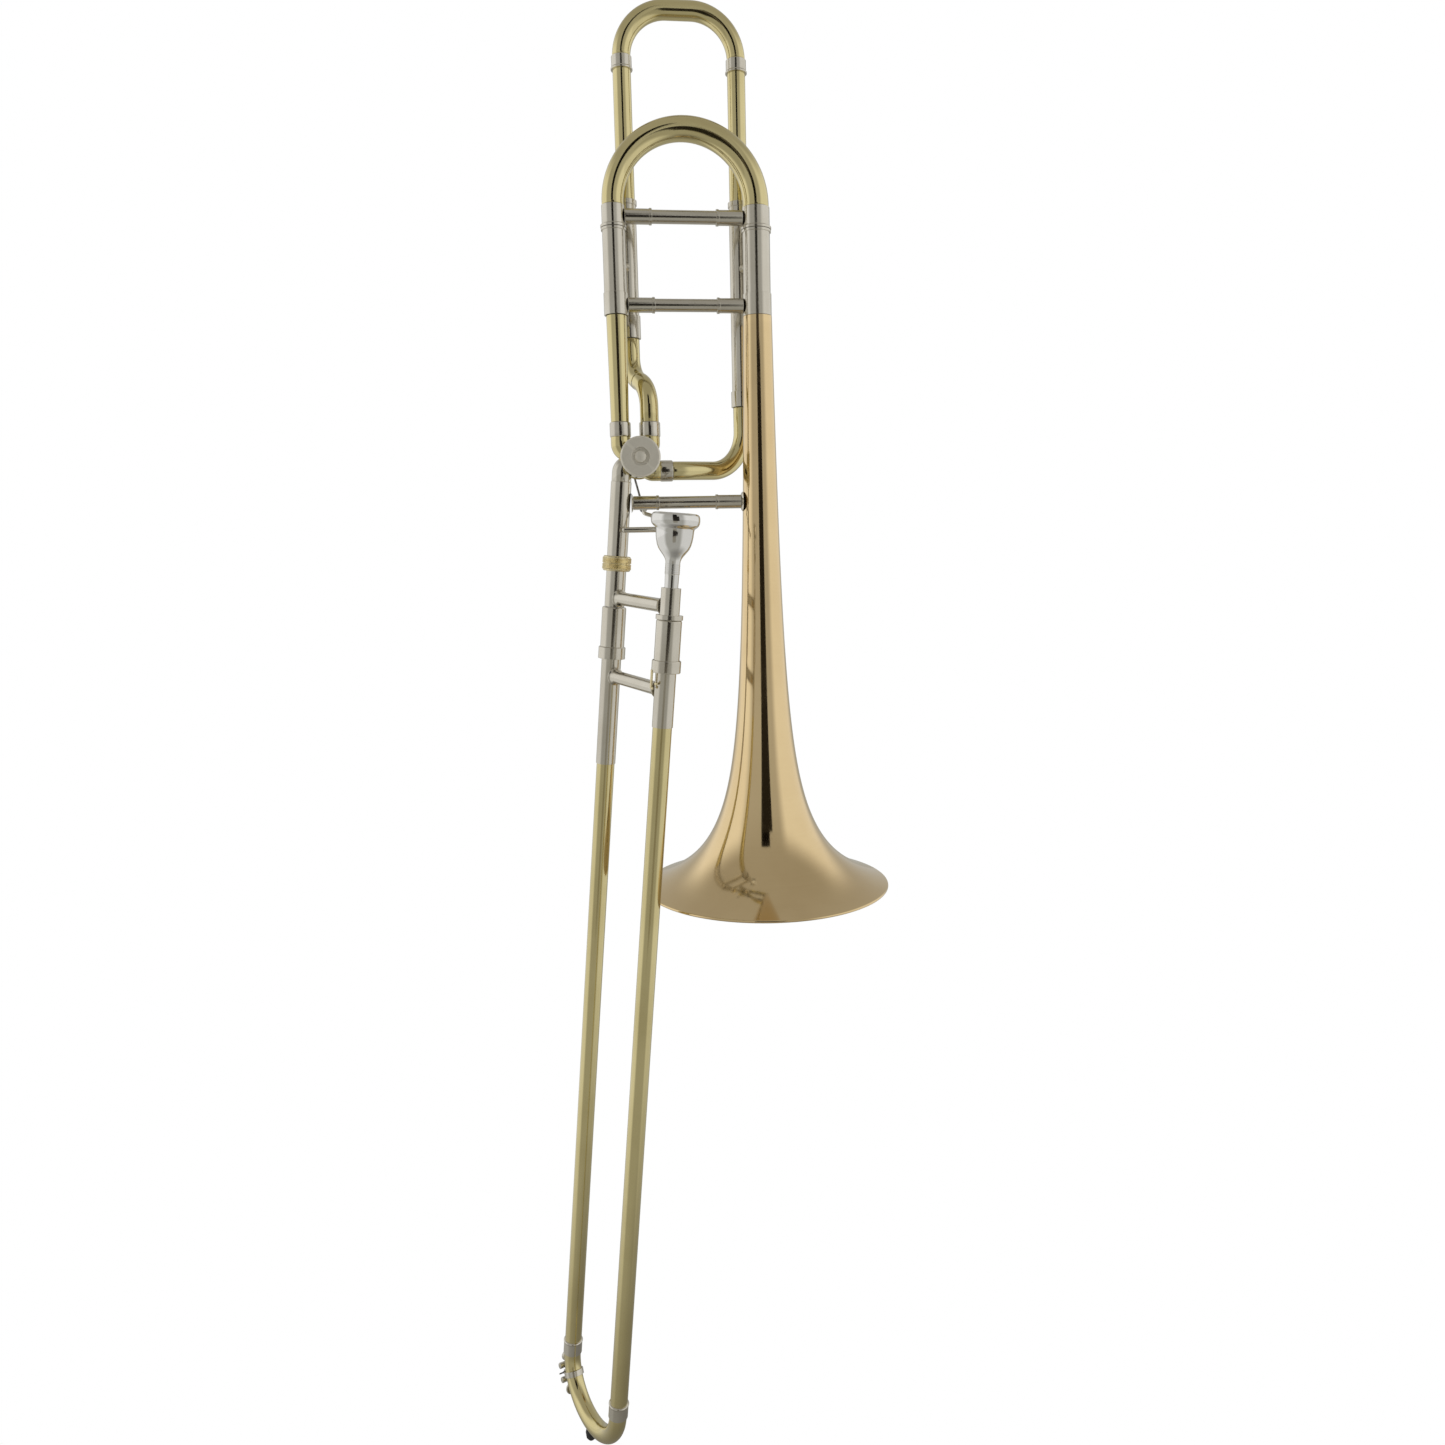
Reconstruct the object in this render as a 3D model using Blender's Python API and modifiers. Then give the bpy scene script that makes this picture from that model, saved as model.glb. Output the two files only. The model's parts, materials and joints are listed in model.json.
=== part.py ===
"""Tenor trombone with an open-wrap F attachment, built as separate parts.

Metres, +Z up. The origin is the centre of the bell mouth and +Z is the bell axis, towards the main
tuning slide. The gooseneck is at -X and the F attachment lies behind the bell, at +Y. The hand slide
has its own frame, slide_frame: its Z axis is the neckpipe tube's axis, pointing up, its +X points
to the mouthpiece tube, and its origin is level with the bell mouth.
"""

from math import cos, pi, radians, sin, tan

import bmesh
import bpy
from mathutils import Matrix, Vector

# ---------------------------------------------------------------- driving dimensions
GAP = 0.0003                      # clearance between faces that meet
LEAD_IN = 0.002                   # straight ends of a bent tube

BELL_MOUTH_RADIUS = 0.1072        # outer radius of the flare where the rim bead starts
BELL_LENGTH = 0.4872              # from the mouth to the end of the stem
BELL_STEM_RADIUS = 0.00982
BELL_STEM_TAPER = 0.009           # growth of the stem radius per length
FLARE_LENGTH = 0.0555             # how far up the flare reaches
FLARE_POWER = 1.638
BELL_WALL = 0.0008
RIM_BEAD_RADIUS = 0.0013

LEG_SPACING = 0.117               # gooseneck axis to bell axis
SLEEVE_BOTTOM = 0.4875            # outer sleeves of the main tuning slide
SLEEVE_STEP = 0.505
SLEEVE_TOP = 0.5552
GOOSENECK_SLEEVE_RADIUS = 0.0093
BELL_SLEEVE_RADIUS = 0.0113
CROOK_START = 0.575
MAIN_BRACE_Z = 0.5647
UPPER_BRACE_Z = 0.4959
LOWER_BRACE_Z = 0.3366

VALVE_CENTRE = Vector((-0.102, 0.0, 0.373))
CASING_RADIUS = 0.0153
CASING_BORE = 0.0136
CASING_HALF_LENGTH = 0.017
ROTOR_RADIUS = 0.0132
KNUCKLE_RADIUS = 0.0082
KNUCKLE_BORE = 0.0070
STOP_ARM_RADIUS = 0.00745         # spindle to the link's pin
PLATE_THICKNESS = 0.003

F_LEFT = Vector((-0.1047, 0.0306, 0.0))
F_RIGHT = Vector((-0.0098, 0.0306, 0.0))
F_TUBE_RADIUS = 0.0075
F_SLEEVE_RADIUS = 0.0082
F_SLEEVE_TOP = 0.5858
F_FERRULE_BOTTOM = 0.687
F_CROOK_START = 0.6975
F_BEND_RADIUS = 0.0372
F_OUT_X = -0.0925                 # tube that leaves the valve upwards
VALVE_FERRULE = (0.3906, 0.4023)

SLIDE_ORIGIN = Vector((-0.1500, 0.0088, 0.0))
SLIDE_DOWN = Vector((-0.0910, 0.0242, -0.9956)).normalized()
SLIDE_PLANE_ANGLE = radians(-62.9)     # mouthpiece tube's bearing about the neckpipe tube
SLIDE_SPACING = 0.0901            # between the two slide tubes
SLIDE_TUBE_RADIUS = 0.0078
SLIDE_BORE = 0.0073
SLEEVED_RADIUS = 0.0084
INNER_RADIUS = 0.0069
INNER_WALL = 0.0005
INNER_END = -0.430
OUTER_TOP = 0.222
BOW_FERRULE_TOP = -0.448
BOW_START = -0.4625
BOW_FLATNESS = 0.885              # depth of the bow for its half width
BARREL_RADIUS = 0.01025
BARREL_BOTTOM = 0.2070
BARREL_TOP = 0.2512
RING_TOP = 0.2168
NECKPIPE_RADIUS = 0.0086
NUT = (0.2816, 0.2942)
INNER_BRACE_Z = 0.2590
OUTER_BRACE_Z = 0.1923
RECEIVER_TOP = 0.2738

LEVER_AXIS = Vector((-0.075, -0.002, 0.3245))
LINK_BALL = Vector((-0.0985, 0.0266, 0.333))
WATER_KEY_ANGLE = radians(27)     # along the bow from the neckpipe side

SIDES = 16
WIDE_SIDES = 24                   # sides of the bell, the valve and the mouthpiece
TUBE_RESOLUTION = 3               # bevel resolution of bent tubes

MATERIALS = {
    "yellow_brass": ((0.56, 0.46, 0.23), 0.18, 1.0),
    "gold_brass": ((0.60, 0.44, 0.24), 0.15, 1.0),
    "nickel_silver": ((0.50, 0.47, 0.41), 0.22, 1.0),
    "silver_plate": ((0.68, 0.67, 0.65), 0.12, 1.0),
    "raw_brass": ((0.48, 0.35, 0.14), 0.3, 1.0),
    "chromed_tube": ((0.62, 0.62, 0.60), 0.15, 1.0),
    "steel": ((0.12, 0.12, 0.12), 0.35, 1.0),
    "rubber": ((0.015, 0.015, 0.015), 0.6, 0.0),
    "cork": ((0.42, 0.27, 0.14), 0.8, 0.0),
}


# ---------------------------------------------------------------- helpers
def clear_scene():
    for item in list(bpy.data.objects):
        bpy.data.objects.remove(item, do_unlink=True)


def new_collection(name):
    collection = bpy.data.collections.get(name) or bpy.data.collections.new(name)
    if name not in bpy.context.scene.collection.children:
        bpy.context.scene.collection.children.link(collection)
    return collection


def give_material(item, finish):
    """Every sub-part gets a material of its own, made from one of the finishes."""
    colour, roughness, metallic = MATERIALS[finish]
    material = bpy.data.materials.new(item.name + "_" + finish)
    material.use_nodes = True
    shader = material.node_tree.nodes["Principled BSDF"]
    shader.inputs["Base Color"].default_value = (*colour, 1.0)
    shader.inputs["Roughness"].default_value = roughness
    shader.inputs["Metallic"].default_value = metallic
    item.data.materials.clear()
    item.data.materials.append(material)


def add_part(name, data, finish, parent=None, place=None):
    item = bpy.data.objects.new(name, data)
    PARTS.objects.link(item)
    item.parent = parent
    if place is not None:
        item.matrix_local = place
    give_material(item, finish)
    if isinstance(data, bpy.types.Mesh):
        data.shade_smooth()
        data.set_sharp_from_angle(angle=radians(35))
    return item


def add_empty(name, place, parent=None):
    empty = bpy.data.objects.new(name, None)
    empty.empty_display_size = 0.02
    PARTS.objects.link(empty)
    empty.parent = parent
    empty.matrix_local = place
    return empty


def aim(start, end):
    """A frame at start whose Z axis points to end."""
    direction = Vector(end) - Vector(start)
    return Matrix.Translation(start) @ direction.to_track_quat("Z", "Y").to_matrix().to_4x4()


def turned(name, outline, finish, parent=None, place=None, steps=SIDES):
    """A lathe-turned piece: the outline is (radius, height), down the outside, then up the bore."""
    hollow = min(radius for radius, _ in outline) > 0
    mesh = bpy.data.meshes.new(name)
    count = len(outline)
    edges = [(i, i + 1) for i in range(count - 1)]
    if hollow:
        edges.append((count - 1, 0))
    mesh.from_pydata([(radius, 0, height) for radius, height in outline], edges, [])
    item = add_part(name, mesh, finish, parent, place)
    screw = item.modifiers.new("Screw", "SCREW")
    screw.steps = screw.render_steps = steps
    screw.use_merge_vertices = True
    screw.merge_threshold = 0.00001
    screw.use_smooth_shade = True
    return item


def pipe(name, outline, bore, finish, parent=None, place=None, steps=SIDES):
    """A straight tube with the given outer outline, top to bottom, and a plain bore."""
    top, bottom = outline[0][1], outline[-1][1]
    return turned(name, [*outline, (bore, bottom), (bore, top)], finish, parent, place, steps)


def arc_route(points, radii, step=radians(15)):
    """The polyline through points with each inner corner rounded to its bend radius."""
    points = [Vector(p) for p in points]
    route = [points[0]]
    for before, corner, after, radius in zip(points, points[1:], points[2:], radii):
        u = (before - corner).normalized()
        v = (after - corner).normalized()
        turn = pi - u.angle(v)
        reach = radius * tan(turn / 2)
        centre = corner + (u + v).normalized() * (radius / cos(turn / 2))
        start = corner + u * reach - centre
        axis = start.cross(corner + v * reach - centre).normalized()
        count = max(2, round(turn / step))
        for i in range(count + 1):
            route.append(centre + Matrix.Rotation(turn * i / count, 3, axis) @ start)
    route.append(points[-1])
    return [p for i, p in enumerate(route) if i == 0 or (p - route[i - 1]).length > 0.00001]


def half_turn(x_start, x_end, z_start, direction, flatness=1.0):
    """A half ellipse in the XZ plane between two legs, upwards for a direction of 1 and downwards
    for -1, with a straight lead-in at each end."""
    half = (x_end - x_start) / 2
    segments = 14
    base = z_start + direction * LEAD_IN
    rise = direction * half * flatness
    angles = [pi * i / segments for i in range(segments + 1)]
    arc = [(x_start + half - half * cos(a), 0, base + rise * sin(a)) for a in angles]
    return [(x_start, 0, z_start), *arc, (x_end, 0, z_start)]


def tube_curve(name, route, radius, end_radius=None, capped=False, resolution=TUBE_RESOLUTION):
    curve = bpy.data.curves.new(name, "CURVE")
    curve.dimensions = "3D"
    curve.bevel_depth = radius
    curve.bevel_resolution = resolution
    curve.use_fill_caps = capped
    spline = curve.splines.new("POLY")
    spline.points.add(len(route) - 1)
    growth = (end_radius or radius) / radius - 1
    for i, (point, place) in enumerate(zip(spline.points, route)):
        point.co = (*place, 1)
        point.radius = 1 + growth * i / (len(route) - 1)
    return curve


def bent_tube(name, route, radius, wall, finish, end_radius=None, parent=None):
    """A hollow tube along a route, open at both ends."""
    item = add_part(name, tube_curve(name, route, radius, end_radius), finish, parent)
    shell = item.modifiers.new("Wall", "SOLIDIFY")
    shell.thickness = wall
    shell.offset = -1
    return item


def rod_mesh(name, route, radius, resolution=2):
    """A solid round bar along a route, as a closed mesh that can be cut or joined."""
    item = bpy.data.objects.new(name, tube_curve(name, route, radius, capped=True, resolution=resolution))
    CUTTERS.objects.link(item)
    bpy.context.view_layer.update()
    depsgraph = bpy.context.evaluated_depsgraph_get()
    mesh = bpy.data.meshes.new_from_object(item.evaluated_get(depsgraph))
    bpy.data.objects.remove(item, do_unlink=True)
    work = bmesh.new()
    work.from_mesh(mesh)
    bmesh.ops.remove_doubles(work, verts=work.verts, dist=0.00001)
    bmesh.ops.recalc_face_normals(work, faces=work.faces)
    work.to_mesh(mesh)
    work.free()
    return mesh


def cylinder_mesh(name, start, end, radius, sides=SIDES, end_radius=None):
    mesh = bpy.data.meshes.new(name)
    work = bmesh.new()
    length = (Vector(end) - Vector(start)).length
    place = aim(start, end) @ Matrix.Translation((0, 0, length / 2))
    bmesh.ops.create_cone(work, cap_ends=True, segments=sides, radius1=radius, depth=length,
                          radius2=radius if end_radius is None else end_radius, matrix=place)
    work.to_mesh(mesh)
    work.free()
    return mesh


def box_mesh(name, low, high, rounding=0.0):
    mesh = bpy.data.meshes.new(name)
    work = bmesh.new()
    low, high = Vector(low), Vector(high)
    place = Matrix.Translation((low + high) / 2) @ Matrix.Diagonal((*(high - low), 1))
    bmesh.ops.create_cube(work, size=1, matrix=place)
    if rounding:
        bmesh.ops.bevel(work, geom=work.edges[:], offset=rounding, segments=2, profile=0.5,
                        affect="EDGES", clamp_overlap=True)
    work.to_mesh(mesh)
    work.free()
    return mesh


def ball_mesh(name, centre, radius):
    mesh = bpy.data.meshes.new(name)
    work = bmesh.new()
    bmesh.ops.create_uvsphere(work, u_segments=16, v_segments=10, radius=radius,
                              matrix=Matrix.Translation(centre))
    work.to_mesh(mesh)
    work.free()
    return mesh


def tool(mesh, parent=None):
    """A hidden cutter or addition for a Boolean."""
    item = bpy.data.objects.new("tool_" + mesh.name, mesh)
    CUTTERS.objects.link(item)
    item.parent = parent
    item.hide_render = True
    item.display_type = "WIRE"
    return item


def combine(item, meshes, operation, parent=None, solver="EXACT"):
    for mesh in meshes:
        boolean = item.modifiers.new(operation.title(), "BOOLEAN")
        boolean.operation = operation
        boolean.solver = solver
        boolean.object = tool(mesh, parent)


# ---------------------------------------------------------------- bell section
def bell_radius(height):
    """Outer radius of the bell at a height: a tapered stem plus a flare."""
    flare = BELL_MOUTH_RADIUS - BELL_STEM_RADIUS - BELL_STEM_TAPER * BELL_LENGTH
    return (BELL_STEM_RADIUS + BELL_STEM_TAPER * (BELL_LENGTH - height)
            + flare * (FLARE_LENGTH / (height + FLARE_LENGTH)) ** FLARE_POWER)


def make_bell():
    rings = 13
    heights = [BELL_LENGTH * (1 - i / rings) ** 2.2 for i in range(rings)]
    outside = [(bell_radius(z), z) for z in heights] + [(BELL_MOUTH_RADIUS, RIM_BEAD_RADIUS)]
    bead = [(BELL_MOUTH_RADIUS + RIM_BEAD_RADIUS * sin(a), RIM_BEAD_RADIUS * cos(a))
            for a in (radians(45 * i) for i in range(1, 6))]
    inside = [(bell_radius(z) - BELL_WALL, z) for z in reversed(heights)]
    inside = [(r, z) for r, z in inside if z > BELL_WALL]
    turned("bell", outside + bead + inside, "gold_brass", steps=WIDE_SIDES)


def make_sleeve(name, x, radius):
    """A fixed outer sleeve of the main tuning slide, thicker where it takes the tube below."""
    outline = [(radius + 0.0009, SLEEVE_TOP), (radius + 0.0009, SLEEVE_TOP - 0.002),
               (radius, SLEEVE_TOP - 0.002), (radius, SLEEVE_STEP),
               (radius + 0.0006, SLEEVE_STEP), (radius + 0.0006, SLEEVE_BOTTOM)]
    pipe(name, outline, radius - 0.0006, "nickel_silver", place=Matrix.Translation((x, 0, 0)))


def make_gooseneck():
    """The tapered tube from the valve up to its sleeve, with its ferrule on the valve."""
    place = Matrix.Translation((-LEG_SPACING, 0, 0))
    outline = [(0.0084, SLEEVE_BOTTOM - GAP), (0.0080, 0.455), (0.0075, VALVE_FERRULE[1] + GAP)]
    bore = [(0.0069, VALVE_FERRULE[1] + GAP), (0.0078, SLEEVE_BOTTOM - GAP)]
    turned("gooseneck", outline + bore, "yellow_brass", place=place)
    valve_ferrule("gooseneck_ferrule", (-LEG_SPACING, 0, VALVE_FERRULE[0]),
                  (-LEG_SPACING, 0, VALVE_FERRULE[1]))


def valve_ferrule(name, start, end):
    length = (Vector(end) - Vector(start)).length
    outline = [(0.0085, length), (0.00875, length - 0.001), (0.00875, 0.001), (0.0085, 0)]
    pipe(name, outline, 0.0069, "nickel_silver", place=aim(start, end))


def brace(name, start, end, centre_radius, socket_radius, finish, parent=None, socket=0.021):
    """A turned brace: a centre tube between two sockets, each closed by a small ring."""
    length = (Vector(end) - Vector(start)).length
    ring = socket_radius + 0.0005
    half = [(socket_radius, 0), (socket_radius, socket - 0.0015), (ring, socket - 0.0015),
            (ring, socket + 0.0005), (centre_radius, socket + 0.0005)]
    outline = [(r, length - z) for r, z in half] + [(r, z) for r, z in reversed(half)]
    pipe(name, outline, centre_radius - 0.0011, finish, parent, aim(start, end))


def make_bell_braces():
    inner = -LEG_SPACING + GOOSENECK_SLEEVE_RADIUS + 0.0006 + GAP
    outer = -BELL_SLEEVE_RADIUS - 0.0006 - GAP
    brace("upper_brace", (inner, 0, UPPER_BRACE_Z), (outer, 0, UPPER_BRACE_Z), 0.0051, 0.0059,
          "nickel_silver")
    plate, flange = 0.0012, 0.00825
    neck_x = slide_point(LOWER_BRACE_Z + flange).x + NECKPIPE_RADIUS + GAP
    stem_x = -bell_radius(LOWER_BRACE_Z - flange) - GAP
    for name, x, side in (("neck_flange", neck_x, 1), ("bell_flange", stem_x, -1)):
        turned(name, [(0, plate), (0.0062, plate), (flange, 0), (0, 0)], "nickel_silver",
               place=aim((x, 0, LOWER_BRACE_Z), (x + side, 0, LOWER_BRACE_Z)))
    brace("lower_brace", (neck_x + plate + GAP, 0, LOWER_BRACE_Z),
          (stem_x - plate - GAP, 0, LOWER_BRACE_Z), 0.0051, 0.0057, "nickel_silver")


# ---------------------------------------------------------------- rotary valve
def slide_point(height, x=0.0, y=0.0):
    """World position of a point given in the hand slide's frame."""
    return SLIDE_FRAME @ Vector((x, y, height))


def knuckle_routes():
    """Centre lines of the four tube stubs, from inside the rotor bore outwards."""
    c = VALVE_CENTRE
    neck_end = slide_point(0.3560)
    return {
        "gooseneck": [c + Vector((-0.004, 0, 0.002)), Vector((-LEG_SPACING, 0, 0.3815)),
                      Vector((-LEG_SPACING, 0, VALVE_FERRULE[0] - GAP))],
        "neckpipe": [c + Vector((-0.004, 0, -0.002)), slide_point(0.3665), neck_end],
        "f_out": [c + Vector((0.002, 0, 0.003)), Vector((F_OUT_X, 0, 0.3835)),
                  Vector((F_OUT_X, 0, VALVE_FERRULE[0] - GAP))],
        "f_return": [c + Vector((0.003, 0, -0.003)), Vector((-0.0935, 0, 0.3627)),
                     Vector((-0.0851, 0, 0.3627))],
    }


def make_valve():
    axis = Vector((0, 1, 0))
    front = VALVE_CENTRE - axis * CASING_HALF_LENGTH
    back = VALVE_CENTRE + axis * CASING_HALF_LENGTH
    barrel = cylinder_mesh("valve_casing", front, back, CASING_RADIUS, WIDE_SIDES)
    casing = add_part("valve_casing", barrel, "yellow_brass")
    routes = list(knuckle_routes().values())
    # each stub is a hair wider than the one before, so that no two surfaces coincide
    combine(casing, [rod_mesh("knuckle_%d" % i, route, KNUCKLE_RADIUS + i * GAP / 4, resolution=3)
                     for i, route in enumerate(routes)], "UNION", solver="MANIFOLD")
    overrun = 0.002
    bores = []
    for i, route in enumerate(routes):
        tip = route[-1] + (route[-1] - route[-2]).normalized() * overrun
        bores.append(rod_mesh("knuckle_bore_%d" % i, [*route[:-1], tip], KNUCKLE_BORE + i * GAP / 4,
                              resolution=3))
    bores.append(cylinder_mesh("rotor_bore", front - axis * overrun, back + axis * overrun,
                               CASING_BORE, WIDE_SIDES))
    combine(casing, bores, "DIFFERENCE", solver="MANIFOLD")

    cap_radius, recess_radius, dome_radius = 0.0165, 0.0075, 0.0052
    floor, face = 0.0012, 0.0036
    cap = [(0, 0.0032), (dome_radius * 0.55, 0.0030), (dome_radius * 0.9, 0.0022),
           (dome_radius, floor), (recess_radius, floor), (recess_radius, face),
           (cap_radius - 0.0012, face), (cap_radius, 0.0028), (cap_radius, 0), (0, 0)]
    turned("valve_cap", cap, "nickel_silver",
           place=aim(front - axis * GAP, front - axis), steps=WIDE_SIDES)
    plate_start = back + axis * GAP
    pipe("valve_back_plate", [(CASING_RADIUS, PLATE_THICKNESS), (CASING_RADIUS, 0)], 0.0033,
         "yellow_brass", place=aim(plate_start, plate_start + axis), steps=WIDE_SIDES)
    bumper_base = plate_start + axis * (PLATE_THICKNESS + GAP)
    for name, angle in (("stop_bumper_upper", 77), ("stop_bumper_lower", -77)):
        offset = Vector((cos(radians(angle)), 0, sin(radians(angle)))) * 0.0105
        start = bumper_base + offset
        turned(name, [(0, 0.0034), (0.0022, 0.0034), (0.0022, 0), (0, 0)], "cork",
               place=aim(start, start + axis), steps=12)


def make_rotor():
    """The rotor turns about Y in the casing: two curved passages, a spindle and the stop arm."""
    pivot = add_empty("rotor_axis", Matrix.Translation(VALVE_CENTRE))
    half = CASING_HALF_LENGTH - 0.0005
    spindle_end = CASING_HALF_LENGTH + GAP + PLATE_THICKNESS + 0.0038
    profile = [(0, spindle_end), (0.0026, spindle_end), (0.0026, half), (ROTOR_RADIUS, half),
               (ROTOR_RADIUS, -half), (0, -half)]
    turn = Matrix.Rotation(radians(-90), 4, "X")
    rotor = turned("rotor", profile, "yellow_brass", pivot, turn, steps=WIDE_SIDES)
    reach, depth = 0.0165, 0.0042
    passages = []
    for i, side in enumerate((-1, 1)):
        corners = [(side * reach, 0, reach * 0.86), (side * depth, 0, 0), (side * reach, 0, -reach * 0.86)]
        passages.append(rod_mesh("passage_%d" % i, arc_route(corners, [0.009]), 0.0062, resolution=2))
    combine(rotor, passages, "DIFFERENCE", pivot)

    arm_y = CASING_HALF_LENGTH + GAP + PLATE_THICKNESS + GAP
    arm_thickness, boss_thickness = 0.0022, 0.0032
    rest = radians(225)
    arm = add_part("rotor_stop_arm", cylinder_mesh(
        "rotor_stop_arm", (0, arm_y, 0), (0, arm_y + arm_thickness, 0), 0.0056, 20), "raw_brass", pivot)
    link_end = Vector((cos(rest), 0, sin(rest))) * STOP_ARM_RADIUS
    lobe_end = -link_end.normalized() * 0.0105
    additions = []
    for i, (tip, width) in enumerate(((link_end, 0.0062), (lobe_end, 0.0054))):
        bar = box_mesh("arm_bar_%d" % i, (0, arm_y, -width / 2),
                       (tip.length, arm_y + arm_thickness, width / 2))
        angle = rest if i == 0 else rest - pi
        bar.transform(Matrix.Rotation(-angle, 4, "Y"))
        additions.append(bar)
    additions.append(cylinder_mesh("arm_eye", link_end + Vector((0, arm_y, 0)),
                                   link_end + Vector((0, arm_y + boss_thickness, 0)), 0.0031, 16))
    combine(arm, additions, "UNION", pivot)
    combine(arm, [cylinder_mesh("arm_hole", (0, arm_y - 0.002, 0), (0, arm_y + 0.006, 0), 0.0030, 16)],
            "DIFFERENCE", pivot)


# ---------------------------------------------------------------- F attachment
def make_f_attachment():
    valve_ferrule("f_out_ferrule", (F_OUT_X, 0, VALVE_FERRULE[0]), (F_OUT_X, 0, VALVE_FERRULE[1]))
    ferrule_x = (-0.0848, -0.0745)
    valve_ferrule("f_return_ferrule", (ferrule_x[0], 0, 0.3627), (ferrule_x[1], 0, 0.3627))

    left_bottom, right_bottom = 0.475, 0.4183
    s_bend = arc_route([(F_OUT_X, 0, VALVE_FERRULE[1] + GAP), (F_OUT_X, 0, 0.4323),
                        (F_LEFT.x, F_LEFT.y, 0.4427), (F_LEFT.x, F_LEFT.y, left_bottom - GAP)],
                       [0.024, 0.024])
    bent_tube("f_s_bend", s_bend, F_TUBE_RADIUS + 0.0002, 0.0007, "yellow_brass")
    back = arc_route([(ferrule_x[1] + GAP, 0, 0.3627), (-0.0655, 0, 0.3627),
                      (F_RIGHT.x, F_RIGHT.y, 0.3645), (F_RIGHT.x, F_RIGHT.y, right_bottom - GAP)],
                     [0.03, 0.034])
    bent_tube("f_return_tube", back, F_TUBE_RADIUS + 0.0002, 0.0007, "yellow_brass")

    for name, place, bottom, step in (("f_sleeve_left", F_LEFT, left_bottom, 0.4935),
                                      ("f_sleeve_right", F_RIGHT, right_bottom, 0.4313)):
        collar, foot, collar_z = F_SLEEVE_RADIUS + 0.0007, F_SLEEVE_RADIUS + 0.0009, F_SLEEVE_TOP - 0.004
        outline = [(collar, F_SLEEVE_TOP), (collar, collar_z), (F_SLEEVE_RADIUS, collar_z),
                   (F_SLEEVE_RADIUS, step), (foot, step), (foot, bottom)]
        pipe(name, outline, F_SLEEVE_RADIUS - 0.0006, "nickel_silver", place=Matrix.Translation(place))

    strut_z = 0.531
    struts = (("strut_left", -LEG_SPACING, GOOSENECK_SLEEVE_RADIUS, F_LEFT),
              ("strut_right", 0.0, BELL_SLEEVE_RADIUS, F_RIGHT))
    for name, main_x, main_radius, f_leg in struts:
        main = Vector((main_x, 0, strut_z))
        side = Vector((f_leg.x, f_leg.y, strut_z))
        along = (side - main).normalized()
        start = main + along * (main_radius + GAP)
        length = (side - main).length - main_radius - F_SLEEVE_RADIUS - 2 * GAP
        outline = [(0.0044, length), (0.0028, length - 0.003), (0.0028, 0.003), (0.0044, 0)]
        pipe(name, outline, 0.0015, "nickel_silver", place=aim(start, side), steps=14)


def make_f_slide():
    base = add_empty("f_slide_axis", Matrix.Translation(F_LEFT))
    leg_bottom = 0.482
    spacing = F_RIGHT.x - F_LEFT.x
    inner = F_TUBE_RADIUS - 0.0003
    ferrule = F_TUBE_RADIUS + 0.0009
    for name, x in (("f_leg_left", 0), ("f_leg_right", spacing)):
        top = F_CROOK_START - GAP
        outline = [(ferrule, top), (ferrule, F_FERRULE_BOTTOM + 0.0015),
                   (ferrule + 0.0006, F_FERRULE_BOTTOM + 0.001), (ferrule + 0.0006, F_FERRULE_BOTTOM),
                   (F_TUBE_RADIUS, F_FERRULE_BOTTOM), (F_TUBE_RADIUS, F_SLEEVE_TOP + GAP),
                   (inner, F_SLEEVE_TOP + GAP), (inner, leg_bottom)]
        pipe(name, outline, inner - 0.0006, "yellow_brass", base, Matrix.Translation((x, 0, 0)))
    top_z = F_CROOK_START + LEAD_IN + F_BEND_RADIUS
    crook = arc_route([(0, 0, F_CROOK_START), (0, 0, top_z), (spacing, 0, top_z),
                       (spacing, 0, F_CROOK_START)], [F_BEND_RADIUS, F_BEND_RADIUS], radians(11.25))
    bent_tube("f_crook", crook, F_TUBE_RADIUS, 0.0007, "yellow_brass", parent=base)


# ---------------------------------------------------------------- main tuning slide
def make_main_slide():
    base = add_empty("main_slide_axis", Matrix.Identity(4))
    legs = (("main_leg_left", -LEG_SPACING, GOOSENECK_SLEEVE_RADIUS),
            ("main_leg_right", 0.0, BELL_SLEEVE_RADIUS))
    bead_z = SLEEVE_TOP + GAP
    leg_end = 0.492
    for name, x, radius in legs:
        leg = radius - 0.00095
        bead = radius + 0.0012
        outline = [(radius, CROOK_START - LEAD_IN - GAP), (radius, bead_z + 0.0026),
                   (bead, bead_z + 0.002), (bead, bead_z), (leg, bead_z), (leg, leg_end)]
        pipe(name, outline, leg - 0.00055, "nickel_silver", base, Matrix.Translation((x, 0, 0)))
    route = half_turn(-LEG_SPACING, 0.0, CROOK_START - LEAD_IN, 1)
    bent_tube("main_crook", route, 0.0088, 0.0008, "yellow_brass", end_radius=0.0107, parent=base)
    start = (-LEG_SPACING + GOOSENECK_SLEEVE_RADIUS + GAP, 0, MAIN_BRACE_Z)
    end = (-BELL_SLEEVE_RADIUS - GAP, 0, MAIN_BRACE_Z)
    brace("main_slide_brace", start, end, 0.0053, 0.0060, "nickel_silver", parent=base)


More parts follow.
